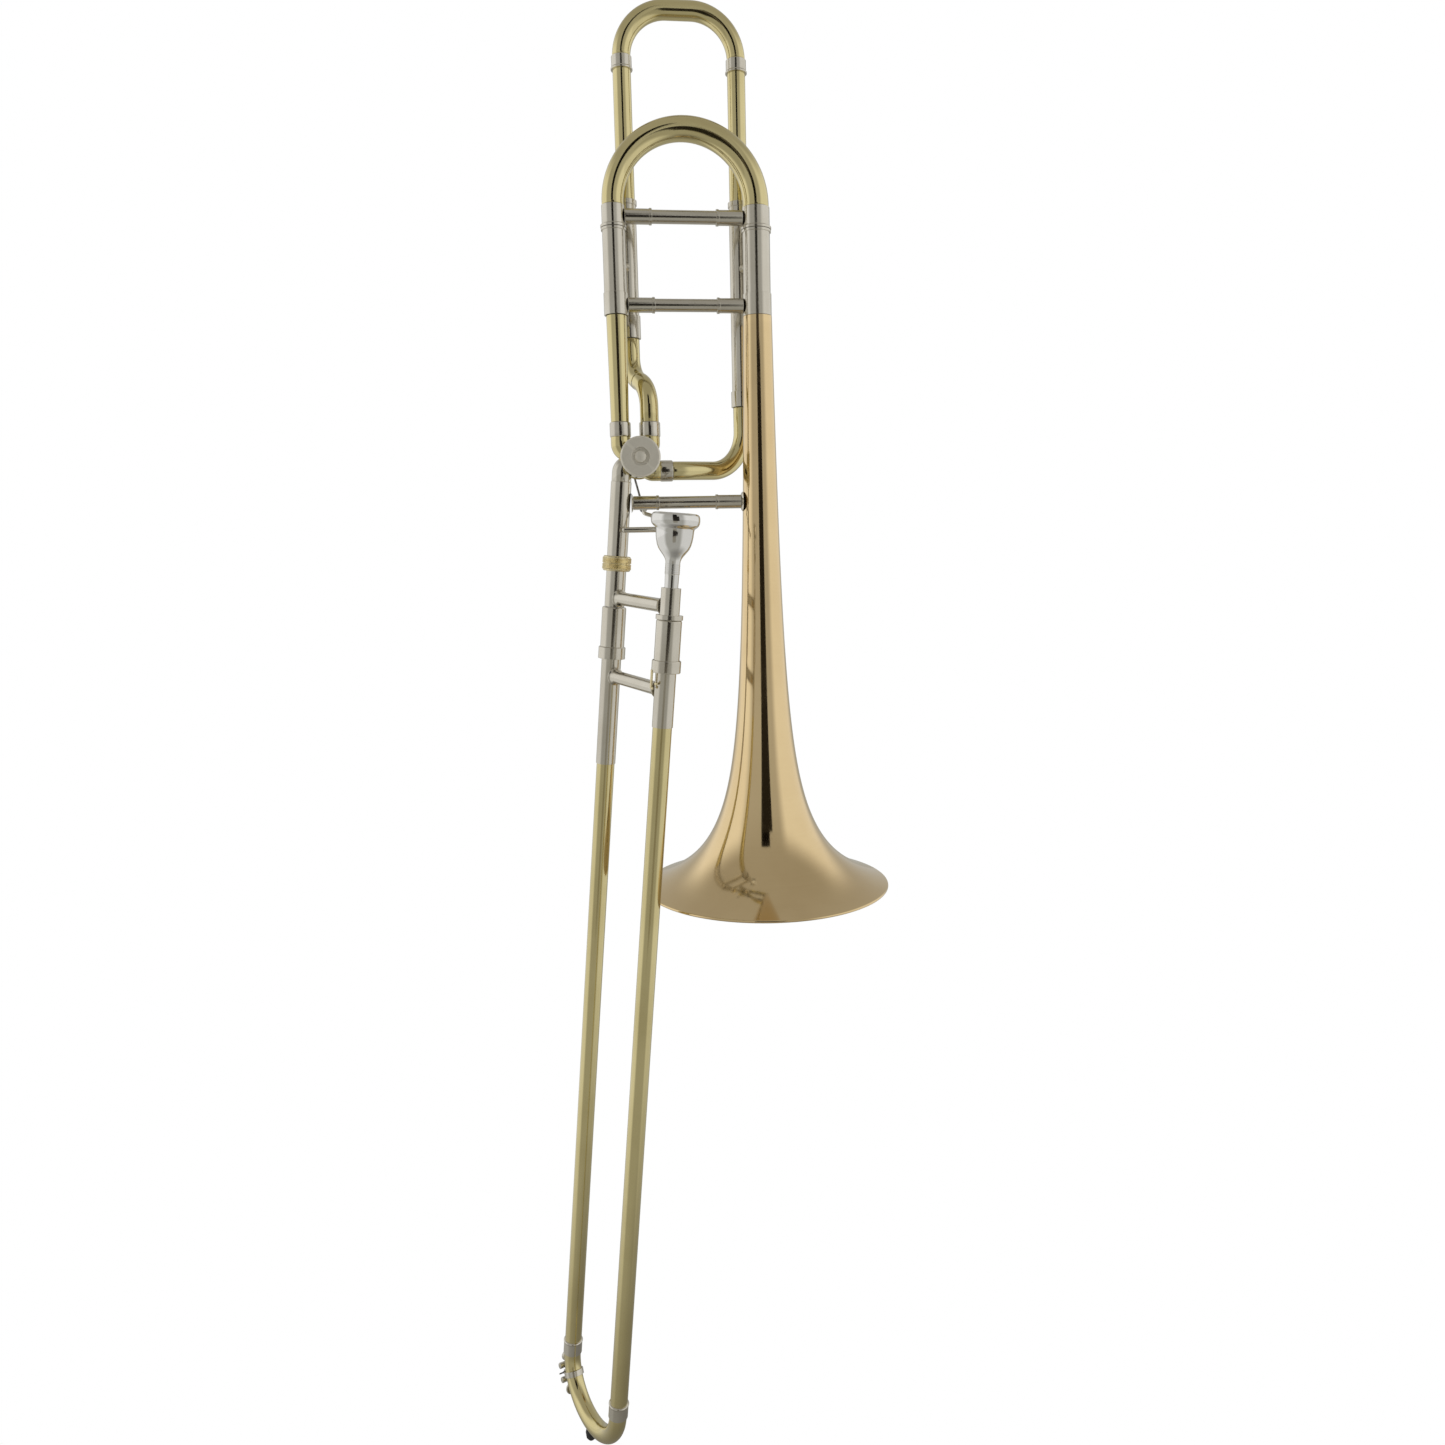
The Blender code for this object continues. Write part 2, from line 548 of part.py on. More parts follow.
# ---------------------------------------------------------------- thumb lever and link
def make_thumb_lever():
    axis = LEVER_AXIS
    ear_x = (-0.0875, -0.0860, -0.0638, -0.0623)
    half_width, plate_low, plate_high = 0.0035, 0.3286, 0.3300
    near, far = axis.y - half_width, axis.y + half_width
    plate = box_mesh("lever_saddle", (ear_x[0], near, plate_low), (ear_x[3], far, plate_high))
    saddle = add_part("lever_saddle", plate, "raw_brass")
    ears = [box_mesh("ear_%d" % i, (ear_x[2 * i], near, axis.z - 0.0034),
                     (ear_x[2 * i + 1], far, plate_low + 0.0008)) for i in range(2)]
    combine(saddle, ears, "UNION")
    hole = cylinder_mesh("ear_hole", (ear_x[0] - 0.002, axis.y, axis.z), (ear_x[3] + 0.002, axis.y, axis.z),
                         0.00135, 12)
    combine(saddle, [hole], "DIFFERENCE")
    turned("lever_pin", [(0, 0.0290), (0.0020, 0.0290), (0.0020, 0.0280), (0.0010, 0.0280),
                         (0.0010, 0), (0, 0)], "steel",
           place=aim((ear_x[0] - 0.0014, axis.y, axis.z), (0, axis.y, axis.z)), steps=12)

    pivot = add_empty("lever_axis", Matrix.Translation(axis))
    barrel = (-0.0855 - axis.x, -0.0702 - axis.x)
    lever = add_part("thumb_lever", cylinder_mesh(
        "thumb_lever", (barrel[0], 0, 0), (barrel[1], 0, 0), 0.0030, 16), "raw_brass", pivot)
    ball = LINK_BALL - axis
    link_arm = arc_route([(-0.008, 0, 0), (-0.008, 0.008, -0.0014), (ball.x, 0.016, 0.0040),
                          (ball.x, ball.y - 0.0037, ball.z)], [0.003, 0.004])
    paddle_arm = arc_route([(-0.004, 0, 0), (-0.004, -0.010, -0.0065), (-0.013, -0.0205, -0.0110)], [0.004])
    paddle = box_mesh("paddle", (-0.0445, -0.032, -0.0130), (-0.0110, -0.0155, -0.0088), 0.0018)
    combine(lever, [rod_mesh("link_arm", link_arm, 0.0017), rod_mesh("paddle_arm", paddle_arm, 0.0022),
                    paddle], "UNION", pivot)
    bore = cylinder_mesh("lever_bore", (barrel[0] - 0.002, 0, 0), (barrel[1] + 0.002, 0, 0), 0.00135, 12)
    combine(lever, [bore], "DIFFERENCE", pivot)

    turns, per_turn, pitch, coil = 4, 8, 0.0011, 0.0026
    helix = [(barrel[1] + 0.0008 + pitch * i / per_turn, coil * cos(2 * pi * i / per_turn),
              coil * sin(2 * pi * i / per_turn)) for i in range(per_turn * turns + 1)]
    add_part("lever_spring", tube_curve("lever_spring", helix, 0.0004, capped=True, resolution=1),
             "steel", pivot)

    arm_pin = VALVE_CENTRE + Vector((-1, 0, -1)).normalized() * STOP_ARM_RADIUS
    arm_pin.y = LINK_BALL.y
    link_pivot = add_empty("link_axis", Matrix.Translation(LINK_BALL))
    top = arm_pin - LINK_BALL
    link = add_part("link_rod", rod_mesh("link_rod", [Vector((0, 0, 0)), top], 0.0014), "steel", link_pivot)
    half_eye = Vector((0, 0.0014, 0))
    sockets = [ball_mesh("link_ball", (0, 0, 0), 0.0033),
               cylinder_mesh("link_eye", top - half_eye, top + half_eye, 0.0031)]
    combine(link, sockets, "UNION", link_pivot)


# ---------------------------------------------------------------- hand slide
def make_neckpipe():
    frame = SLIDE_AXIS
    outline = [(NECKPIPE_RADIUS, 0.3557), (NECKPIPE_RADIUS, NUT[1] + 0.004), (0.0084, NUT[0] + 0.0055)]
    pipe("neckpipe", outline, 0.0074, "nickel_silver", frame)
    low, high = NUT[0], NUT[1]
    nut = [(0.0110, high), (0.0120, high - 0.0010), (0.0120, low + 0.0010), (0.0110, low)]
    pipe("receiver_nut", nut, 0.0090, "raw_brass", frame, steps=WIDE_SIDES)


def make_inner_slide():
    frame = SLIDE_AXIS
    mouth = Matrix.Translation((SLIDE_SPACING, 0, 0))
    bore = INNER_RADIUS - INNER_WALL
    outline = [(SLEEVED_RADIUS, NUT[0] + 0.0050), (SLEEVED_RADIUS, BARREL_TOP + GAP),
               (INNER_RADIUS, BARREL_TOP + GAP), (INNER_RADIUS, INNER_END)]
    pipe("inner_tube_neck", outline, bore, "chromed_tube", frame)
    pipe("inner_tube_mouth", [(INNER_RADIUS, 0.2485), (INNER_RADIUS, INNER_END)], bore, "chromed_tube",
         frame, mouth)
    collar = 0.0072
    barrels = (("cork_barrel_neck", Matrix.Identity(4), BARREL_TOP, 0.0115),
               ("cork_barrel_mouth", mouth, 0.2487, BARREL_RADIUS))
    for name, place, top, ring in barrels:
        outline = [(BARREL_RADIUS - 0.0006, top), (BARREL_RADIUS, top - 0.001)]
        if ring > BARREL_RADIUS:
            outline += [(BARREL_RADIUS, RING_TOP + 0.0006), (ring, RING_TOP)]
        outline += [(ring, BARREL_BOTTOM), (0.0090, BARREL_BOTTOM), (0.0090, top - 0.006),
                    (collar, top - 0.006), (collar, top)]
        turned(name, outline, "nickel_silver", frame, place)
    outline = [(0.00785, RECEIVER_TOP), (0.00785, 0.2526), (0.0108, 0.2526), (0.0108, 0.2490),
               (0.0056, 0.2490), (0.0060, RECEIVER_TOP)]
    turned("mouthpiece_receiver", outline, "nickel_silver", frame, mouth)
    brace_tube("inner_brace", INNER_BRACE_Z, SLEEVED_RADIUS, 0.00785)

    ring = [(BARREL_RADIUS + 0.0014, RING_TOP), (BARREL_RADIUS + 0.0014, BARREL_BOTTOM),
            (BARREL_RADIUS + 0.0002 + GAP, BARREL_BOTTOM), (BARREL_RADIUS + 0.0002 + GAP, RING_TOP)]
    lock = turned("slide_lock", ring, "raw_brass", frame, mouth)
    tab_angle = radians(-105)
    tab = box_mesh("lock_tab", (0.0106, -0.0016, 0.1945), (0.0118, 0.0016, 0.2090))
    foot = box_mesh("lock_foot", (0.0106, -0.0016, 0.1935), (0.0118, 0.0042, 0.1955))
    for mesh in (tab, foot):
        mesh.transform(mouth @ Matrix.Rotation(tab_angle, 4, "Z"))
    combine(lock, [tab, foot], "UNION", frame)


def brace_tube(name, height, left_radius, right_radius):
    start = (left_radius + GAP, 0, height)
    end = (SLIDE_SPACING - right_radius - GAP, 0, height)
    length = end[0] - start[0]
    outline = [(0.0058, length), (0.0055, length * 0.75), (0.0055, length * 0.25), (0.0058, 0)]
    pipe(name, outline, 0.0045, "nickel_silver", SLIDE_AXIS, aim(start, end), steps=SIDES)


def make_outer_slide():
    frame = SLIDE_AXIS
    tubes = (("outer_tube_neck", 0.0, 0.115), ("outer_tube_mouth", SLIDE_SPACING, 0.163))
    for name, x, sleeve_end in tubes:
        outline = [(SLEEVED_RADIUS, OUTER_TOP), (SLEEVED_RADIUS, sleeve_end),
                   (SLIDE_TUBE_RADIUS, sleeve_end), (SLIDE_TUBE_RADIUS, BOW_FERRULE_TOP),
                   (0.0087, BOW_FERRULE_TOP), (0.0087, BOW_START + LEAD_IN + GAP)]
        pipe(name, outline, SLIDE_BORE, "yellow_brass", frame, Matrix.Translation((x, 0, 0)))
    brace_tube("outer_brace", OUTER_BRACE_Z, SLEEVED_RADIUS, SLEEVED_RADIUS)
    half = SLIDE_SPACING / 2
    route = half_turn(0.0, SLIDE_SPACING, BOW_START + LEAD_IN, -1, BOW_FLATNESS)
    bent_tube("slide_bow", route, SLIDE_TUBE_RADIUS, 0.0007, "yellow_brass", parent=frame)
    apex = BOW_START - half * BOW_FLATNESS - SLIDE_TUBE_RADIUS - GAP
    bumper = [(0, 0), (0.0050, -0.0002), (0.0055, -0.0030), (0.0045, -0.0080), (0.0025, -0.0105),
              (0, -0.0110)]
    turned("bow_bumper", bumper, "rubber", frame, Matrix.Translation((half, 0, apex)), steps=16)
    pin_angle = radians(-72)
    out = Vector((cos(pin_angle), sin(pin_angle), 0))
    base = Vector((SLIDE_SPACING, 0, 0.1985)) + out * (SLEEVED_RADIUS + GAP)
    pin = [(0, 0.0034), (0.0011, 0.0031), (0.0015, 0.0022), (0.0010, 0.0012), (0.0010, 0), (0, 0)]
    turned("lock_pin", pin, "raw_brass", frame, aim(base, base + out), steps=12)


def make_water_key():
    """Drain key on the outside of the bow: a clamped saddle, and a sprung lever with a cork."""
    half = SLIDE_SPACING / 2
    across, down = cos(WATER_KEY_ANGLE), sin(WATER_KEY_ANGLE)
    out = Vector((-across * BOW_FLATNESS, 0, -down)).normalized()
    centre = Vector((half - half * across, 0, BOW_START - half * BOW_FLATNESS * down))
    along = Vector((-out.z, 0, out.x))
    place = Matrix(((out.x, 0, along.x, centre.x), (0, 1, 0, centre.y),
                    (out.z, 0, along.z, centre.z), (0, 0, 0, 1)))
    station = add_empty("water_key_station", place, SLIDE_AXIS)
    tube = SLIDE_TUBE_RADIUS + 0.0004
    band = [(tube + 0.0009, 0.0025), (tube + 0.0009, -0.0025), (tube, -0.0025), (tube, 0.0025)]
    saddle = turned("water_key_saddle", band, "nickel_silver", station)
    pivot_x = SLIDE_TUBE_RADIUS + 0.0050
    ears = [box_mesh("key_ear_%d" % i, (tube - 0.0002, side * 0.0034 - 0.0006, -0.0022),
                     (pivot_x + 0.0018, side * 0.0034 + 0.0006, 0.0022)) for i, side in enumerate((-1, 1))]
    combine(saddle, ears, "UNION", station)
    hole = cylinder_mesh("key_pin_hole", (pivot_x, -0.006, 0), (pivot_x, 0.006, 0), 0.0010, 12)
    combine(saddle, [hole], "DIFFERENCE", station)

    pivot = add_empty("water_key_axis", Matrix.Translation((pivot_x, 0, 0)), station)
    key = add_part("water_key", cylinder_mesh("water_key", (0, -0.0024, 0), (0, 0.0024, 0), 0.0022, 16),
                   "nickel_silver", pivot)
    arm = box_mesh("key_arm", (-0.0008, -0.0018, -0.0130), (0.0012, 0.0018, 0.0150), 0.0006)
    pad = cylinder_mesh("key_pad", (-0.0002, 0, 0.0160), (0.0022, 0, 0.0160), 0.0048, 16)
    cup = cylinder_mesh("key_cup", (-0.0030, 0, -0.0130), (0.0014, 0, -0.0130), 0.0040, 16)
    combine(key, [arm, pad, cup], "UNION", pivot)
    bore = cylinder_mesh("key_bore", (0, -0.006, 0), (0, 0.006, 0), 0.0010, 12)
    combine(key, [bore], "DIFFERENCE", pivot)
    turned("water_key_pin", [(0, 0.0090), (0.0007, 0.0090), (0.0007, 0), (0, 0)], "steel", station,
           aim((pivot_x, -0.0045, 0), (pivot_x, 1, 0)), steps=10)


# ---------------------------------------------------------------- mouthpiece
def make_mouthpiece():
    rim, bottom = 0.3316, 0.2555
    outside = [(0.0150, rim - 0.0004), (0.0174, rim), (0.0190, rim - 0.0028), (0.0192, rim - 0.0055),
               (0.0186, rim - 0.0088), (0.0166, rim - 0.0112), (0.0152, rim - 0.0125),
               (0.0140, rim - 0.0190), (0.0117, rim - 0.0265), (0.0085, rim - 0.0325),
               (0.0062, rim - 0.0355), (0.0054, rim - 0.0400), (0.0053, 0.2740), (0.0050, bottom)]
    inside = [(0.0040, bottom), (0.0038, 0.2800), (0.0034, rim - 0.0330), (0.0066, rim - 0.0260),
              (0.0100, rim - 0.0190), (0.0122, rim - 0.0100), (0.0127, rim - 0.0040)]
    turned("mouthpiece", outside + inside, "silver_plate", SLIDE_AXIS,
           Matrix.Translation((SLIDE_SPACING, 0, 0)), steps=WIDE_SIDES)


# ---------------------------------------------------------------- assembly
def slide_matrix():
    """Frame of the hand slide: Z up the neckpipe tube, X towards the mouthpiece tube."""
    up = -SLIDE_DOWN
    bearing = Vector((cos(SLIDE_PLANE_ANGLE), sin(SLIDE_PLANE_ANGLE), 0))
    across = (bearing - up * bearing.dot(up)).normalized()
    side = up.cross(across)
    rotation = Matrix((across, side, up)).transposed().to_4x4()
    return Matrix.Translation(SLIDE_ORIGIN) @ rotation


clear_scene()
PARTS = new_collection("trombone")
CUTTERS = new_collection("cutters")
SLIDE_FRAME = slide_matrix()
SLIDE_AXIS = add_empty("slide_frame", SLIDE_FRAME)

make_bell()
make_sleeve("gooseneck_sleeve", -LEG_SPACING, GOOSENECK_SLEEVE_RADIUS)
make_sleeve("bell_sleeve", 0.0, BELL_SLEEVE_RADIUS)
make_gooseneck()
make_bell_braces()
make_valve()
make_rotor()
make_f_attachment()
make_f_slide()
make_main_slide()
make_thumb_lever()
make_neckpipe()
make_inner_slide()
make_outer_slide()
make_water_key()
make_mouthpiece()
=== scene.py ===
"""Tenor trombone with an open-wrap F attachment: the visible model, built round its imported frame.

Metres, +Z up, bell mouth at the origin. Every piece is worked out from the frame's own nodes and
joints, rides on its body and stands for the plainer node it covers. Laid out as an add-on: sizes
and colours are scene properties, and each group of pieces has an operator.
"""

import json
from math import asin, atan, cos, degrees, pi, radians, sin, sqrt, tan

import bmesh
import bpy
from bpy.props import FloatProperty, FloatVectorProperty, IntProperty, PointerProperty
from mathutils import Matrix, Vector


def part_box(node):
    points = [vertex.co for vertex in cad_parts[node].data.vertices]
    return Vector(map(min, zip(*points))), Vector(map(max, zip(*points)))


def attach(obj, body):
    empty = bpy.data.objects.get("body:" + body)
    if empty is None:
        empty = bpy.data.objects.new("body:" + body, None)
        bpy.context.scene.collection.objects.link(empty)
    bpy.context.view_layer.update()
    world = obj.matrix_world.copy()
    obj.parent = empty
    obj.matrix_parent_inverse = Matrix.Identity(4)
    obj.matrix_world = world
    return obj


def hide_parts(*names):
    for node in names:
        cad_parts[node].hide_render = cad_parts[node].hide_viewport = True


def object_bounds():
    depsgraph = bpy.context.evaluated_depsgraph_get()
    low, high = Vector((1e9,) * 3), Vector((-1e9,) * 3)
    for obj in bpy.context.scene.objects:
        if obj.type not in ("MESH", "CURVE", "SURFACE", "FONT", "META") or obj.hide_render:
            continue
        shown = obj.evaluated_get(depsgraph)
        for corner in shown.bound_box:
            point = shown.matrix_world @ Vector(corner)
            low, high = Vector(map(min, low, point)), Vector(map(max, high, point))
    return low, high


bl_info = {
    "name": "Trombone with F attachment",
    "version": (1, 0, 0),
    "blender": (4, 5, 0),
    "location": "View3D > Sidebar > Trombone",
    "description": "Builds the visible parts, finishes and studio of a tenor trombone",
    "category": "Object",
}

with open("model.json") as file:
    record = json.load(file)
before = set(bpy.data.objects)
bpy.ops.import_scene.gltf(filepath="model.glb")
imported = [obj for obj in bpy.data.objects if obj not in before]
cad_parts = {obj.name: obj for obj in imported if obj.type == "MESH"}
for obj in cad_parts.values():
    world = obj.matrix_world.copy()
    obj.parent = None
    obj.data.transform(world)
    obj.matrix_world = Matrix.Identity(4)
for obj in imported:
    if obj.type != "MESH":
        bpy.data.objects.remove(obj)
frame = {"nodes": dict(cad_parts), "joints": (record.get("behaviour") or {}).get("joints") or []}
CAD_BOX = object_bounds()
JOINTS = {joint["name"]: joint for joint in frame["joints"]}

UP = Vector((0, 0, 1))
SIDES = 72                        # sides of a turned or bent tube
FINE_SIDES = 128                  # sides of the wide turned parts
EDGE = 0.0002                     # rounding of a turned edge
BEND_STEP = radians(4)            # turn between two rings of a bend
ROUND_STEPS = 5                   # points on a rounded corner
SLIDE_GAP = 0.0003                # room left between soldered or sliding parts
HINGE_BORE = 0.00135              # radius of the bore round the lever's pin
STOP_PIN_REACH = 0.00745          # from the rotor's axis to the link's pin
KEY_LIFT = 0.0050                 # from the bow's surface to the water key's pivot
BOW_LEAD = 0.002                  # straight start of the slide's bow
BUMP_RINGS = 6                    # rings round the mouthpiece's stem


# ---------------------------------------------------------------- sizes and colours
class BellSizes(bpy.types.PropertyGroup):
    stem_radius: FloatProperty(name="Stem radius", description="Outer radius where the stem ends",
                               default=0.00982, unit="LENGTH")
    stem_taper: FloatProperty(name="Stem taper", description="Growth of the stem radius per length",
                              default=0.009)
    flare_length: FloatProperty(name="Flare length", description="How far up the flare reaches",
                                default=0.0555, unit="LENGTH")
    flare_power: FloatProperty(name="Flare power", description="How suddenly the flare opens",
                               default=1.638)
    wall: FloatProperty(name="Wall", description="Thickness of the sheet", default=0.0008, unit="LENGTH")
    bead: FloatProperty(name="Rim bead", description="Radius of the wire rolled into the rim",
                        default=0.0013, unit="LENGTH")
    rows: IntProperty(name="Rows", description="Rings of faces along the bell", default=150)


class TubeSizes(bpy.types.PropertyGroup):
    wall: FloatProperty(name="Wall", description="Thickness of a bent tube", default=0.0007, unit="LENGTH")
    f_tube: FloatProperty(name="F tube radius", description="Outer radius of the F attachment's tube",
                          default=0.0075, unit="LENGTH")
    f_bend: FloatProperty(name="F bend radius", description="Bend radius of the F slide's top",
                          default=0.0372, unit="LENGTH")
    crook_left: FloatProperty(name="Crook radius, gooseneck side", description="Outer radius of the crook",
                              default=0.0088, unit="LENGTH")
    crook_right: FloatProperty(name="Crook radius, bell side", description="Outer radius of the crook",
                               default=0.0107, unit="LENGTH")
    slide_tube: FloatProperty(name="Slide tube radius", description="Outer radius of the outer slide",
                              default=0.0078, unit="LENGTH")
    slide_sleeve: FloatProperty(name="Slide sleeve radius", description="Outer radius of its sleeves",
                                default=0.0084, unit="LENGTH")
    bow_flatness: FloatProperty(name="Bow flatness", description="Depth of the bow for its half width",
                                default=0.885)


class DetailSizes(bpy.types.PropertyGroup):
    knurl_depth: FloatProperty(name="Knurl depth", description="Height of a knurling point",
                               default=0.00028, unit="LENGTH")
    knurl_pitch: FloatProperty(name="Knurl pitch", description="Spacing of the knurling points",
                               default=0.0010, unit="LENGTH")
    spring_wire: FloatProperty(name="Spring wire", description="Radius of the spring wire",
                               default=0.00035, unit="LENGTH")


class FinishColours(bpy.types.PropertyGroup):
    yellow_brass: FloatVectorProperty(name="Yellow brass", description="Lacquered yellow brass",
                                      subtype="COLOR", default=(0.68, 0.60, 0.325))
    gold_brass: FloatVectorProperty(name="Gold brass", description="Lacquered gold brass of the bell",
                                    subtype="COLOR", default=(0.74, 0.575, 0.325))
    nickel_silver: FloatVectorProperty(name="Nickel silver", description="Sleeves, braces and ferrules",
                                       subtype="COLOR", default=(0.64, 0.615, 0.55))
    silver_plate: FloatVectorProperty(name="Silver plate", description="Mouthpiece", subtype="COLOR",
                                      default=(0.74, 0.74, 0.73))
    raw_brass: FloatVectorProperty(name="Raw brass", description="Small unlacquered brass parts",
                                   subtype="COLOR", default=(0.76, 0.67, 0.43))
    chromed_tube: FloatVectorProperty(name="Chromed tube", description="Inner slide tubes",
                                      subtype="COLOR", default=(0.66, 0.67, 0.67))
    dark_steel: FloatVectorProperty(name="Dark steel", description="Pins, springs and the link",
                                    subtype="COLOR", default=(0.22, 0.21, 0.20))
    rubber: FloatVectorProperty(name="Rubber", description="Bumper of the bow", subtype="COLOR",
                                default=(0.012, 0.012, 0.013))
    cork: FloatVectorProperty(name="Cork", description="Stops of the valve", subtype="COLOR",
                              default=(0.46, 0.27, 0.13))


class StudioSettings(bpy.types.PropertyGroup):
    camera_place: FloatVectorProperty(name="Camera place", description="Where the camera stands",
                                      subtype="TRANSLATION", default=(-0.15278, -0.93258, 0.28835))
    camera_turn: FloatVectorProperty(name="Camera turn", description="The camera's rotation",
                                     subtype="EULER",
                                     default=(radians(81.443), radians(1.2218), radians(-7.2828)))
    lens: FloatProperty(name="Lens", description="Focal length on a 36 mm sensor, in mm", default=27.044)
    room_light: FloatProperty(name="Room light", description="Brightness of the tent walls", default=0.52)
    box_light: FloatProperty(name="Soft box light", description="Brightness of the soft boxes",
                             default=1.0)


GROUPS = {
    "bell_sizes": BellSizes,
    "tube_sizes": TubeSizes,
    "detail_sizes": DetailSizes,
    "finish_colours": FinishColours,
    "studio_settings": StudioSettings,
}


def setting(group):
    return getattr(bpy.context.scene, group)


# ---------------------------------------------------------------- node trees
class Term:
    """A socket that can be used in arithmetic: every operation adds a Math node to its tree."""

    def __init__(self, net, socket):
        self.net = net
        self.socket = socket

    def __add__(self, other):
        return self.net.math("ADD", self, other)

    def __radd__(self, other):
        return self.net.math("ADD", other, self)

    def __sub__(self, other):
        return self.net.math("SUBTRACT", self, other)

    def __rsub__(self, other):
        return self.net.math("SUBTRACT", other, self)

    def __mul__(self, other):
        return self.net.math("MULTIPLY", self, other)

    def __rmul__(self, other):
        return self.net.math("MULTIPLY", other, self)

    def __truediv__(self, other):
        return self.net.math("DIVIDE", self, other)

    def __rtruediv__(self, other):
        return self.net.math("DIVIDE", other, self)

    def __pow__(self, other):
        return self.net.math("POWER", self, other)


class Net:
    """A node tree of terms, with one method that adds every kind of node but the arithmetic."""

    def __init__(self, tree):
        self.tree = tree

    def node(self, kind, settings=None, sockets=None):
        made = self.tree.nodes.new(kind)
        for name, value in (settings or {}).items():
            if name == "stops":
                ramp = made.color_ramp
                while len(ramp.elements) < len(value):
                    ramp.elements.new(1.0)
                for element, (position, colour) in zip(ramp.elements, value):
                    element.position = position
                    element.color = (*colour, 1.0)
            else:
                setattr(made, name, value)
        for key, value in (sockets or {}).items():
            self.feed(made.inputs[key], value)
        return made

    def feed(self, socket, value):
        if isinstance(value, Term):
            self.tree.links.new(value.socket, socket)
        elif socket.type == "RGBA" and len(value) == 3:
            socket.default_value = (*value, 1.0)
        else:
            socket.default_value = value

    def term(self, kind, settings=None, sockets=None, output=0):
        return Term(self, self.node(kind, settings, sockets).outputs[output])

    def math(self, operation, *values):
        return self.term("ShaderNodeMath", {"operation": operation}, dict(enumerate(values)))

    def vector(self, x, y, z):
        return self.term("ShaderNodeCombineXYZ", None, {"X": x, "Y": y, "Z": z})

    def blend(self, factor, first, second):
        """One colour mixed into another."""
        return self.term("ShaderNodeMix", {"data_type": "RGBA"}, {0: factor, 6: first, 7: second}, 2)

    def between(self, value, low, high):
        """0 below low, 1 above high, and a smooth step between them."""
        return self.term("ShaderNodeMapRange", {"interpolation_type": "SMOOTHSTEP"},
                         {"Value": value, "From Min": low, "From Max": high})


def split_axes(net, vector):
    """The three numbers of a vector."""
    split = net.node("ShaderNodeSeparateXYZ", None, {"Vector": vector})
    return [Term(net, split.outputs[axis]) for axis in "XYZ"]


# ---------------------------------------------------------------- finishes
def scaled(colour, factor):
    """A colour made lighter or darker."""
    return tuple(min(1.0, c * factor) for c in colour)


def object_point(net):
    return net.term("ShaderNodeTexCoord", output="Object")


def bumped(net, height, strength, distance):
    return net.term("ShaderNodeBump", None, {"Strength": strength, "Distance": distance, "Height": height})


def grain_point(net, place, stretch):
    """Object coordinates in a piece's own frame, with its Z axis stretched for drawn lines."""
    point = object_point(net)
    turn = place.to_euler() if place else (0, 0, 0)
    return net.term("ShaderNodeMapping", {"vector_type": "TEXTURE"},
                    {"Vector": point, "Rotation": turn, "Scale": (1, 1, stretch)})


def noise(net, point, scale, detail=3.0, roughness=0.5):
    return net.term("ShaderNodeTexNoise", None,
                    {"Vector": point, "Scale": scale, "Detail": detail, "Roughness": roughness})


def finger_marks(net, point):
    """Soft patches of handling, each filled with faint ridges half a millimetre apart."""
    patch = net.between(noise(net, point, 28.0, 2.0), 0.56, 0.70)
    ridges = net.term("ShaderNodeTexWave", {"wave_type": "RINGS", "rings_direction": "SPHERICAL"},
                      {"Vector": point, "Scale": 320.0, "Distortion": 6.0, "Detail": 2.0,
                       "Detail Scale": 0.4}, "Fac")
    return patch * (0.55 + ridges * 0.45)


def worn_edge(net, low=0.515, high=0.56):
    """1 on outer edges, where handling polishes or wears the finish."""
    return net.between(net.term("ShaderNodeNewGeometry", output="Pointiness"), low, high)


def new_finish(name):
    material = bpy.data.materials.new(name)
    material.use_nodes = True
    net = Net(material.node_tree)
    return material, net, material.node_tree.nodes["Principled BSDF"]


def set_shader(net, shader, sockets):
    for name, value in sockets.items():
        net.feed(shader.inputs[name], value)


def polished_metal(name, colour, place, tone, gloss, coat, streak=0.25):
    """Polished sheet metal: slow tone changes, drawn lines along the piece, marks and worn edges.

    tone is the deeper colour that old lacquer or tarnish takes, and gloss the least roughness.
    """
    material, net, shader = new_finish(name)
    plain = grain_point(net, place, 1.0)
    along = grain_point(net, place, 60.0)
    cloud = net.between(noise(net, plain, 16.0, 4.0, 0.6), 0.35, 0.75)
    drawn = noise(net, along, 950.0, 3.0, 0.6)
    freckle = net.between(noise(net, plain, 520.0, 2.0, 0.5), 0.68, 0.78)
    marks = finger_marks(net, plain)
    deep = net.blend(cloud * 0.42 + freckle * 0.22, colour, tone)
    lined = net.blend((drawn - 0.5) * streak + 0.08, deep, tone)
    edged = net.blend(worn_edge(net) * 0.35, lined, scaled(colour, 1.18))
    fine = noise(net, plain, 2600.0, 2.0, 0.5)
    height = drawn * 0.6 + fine * 0.4
    bump = bumped(net, height, 0.3, 0.000005)
    set_shader(net, shader, {
        "Base Color": edged, "Metallic": 1.0, "Normal": bump, "Coat Weight": coat,
        "Coat Roughness": 0.05, "Coat IOR": 1.5,
        "Roughness": gloss + cloud * 0.04 + marks * 0.07 + drawn * 0.03 + freckle * 0.08})
    return material


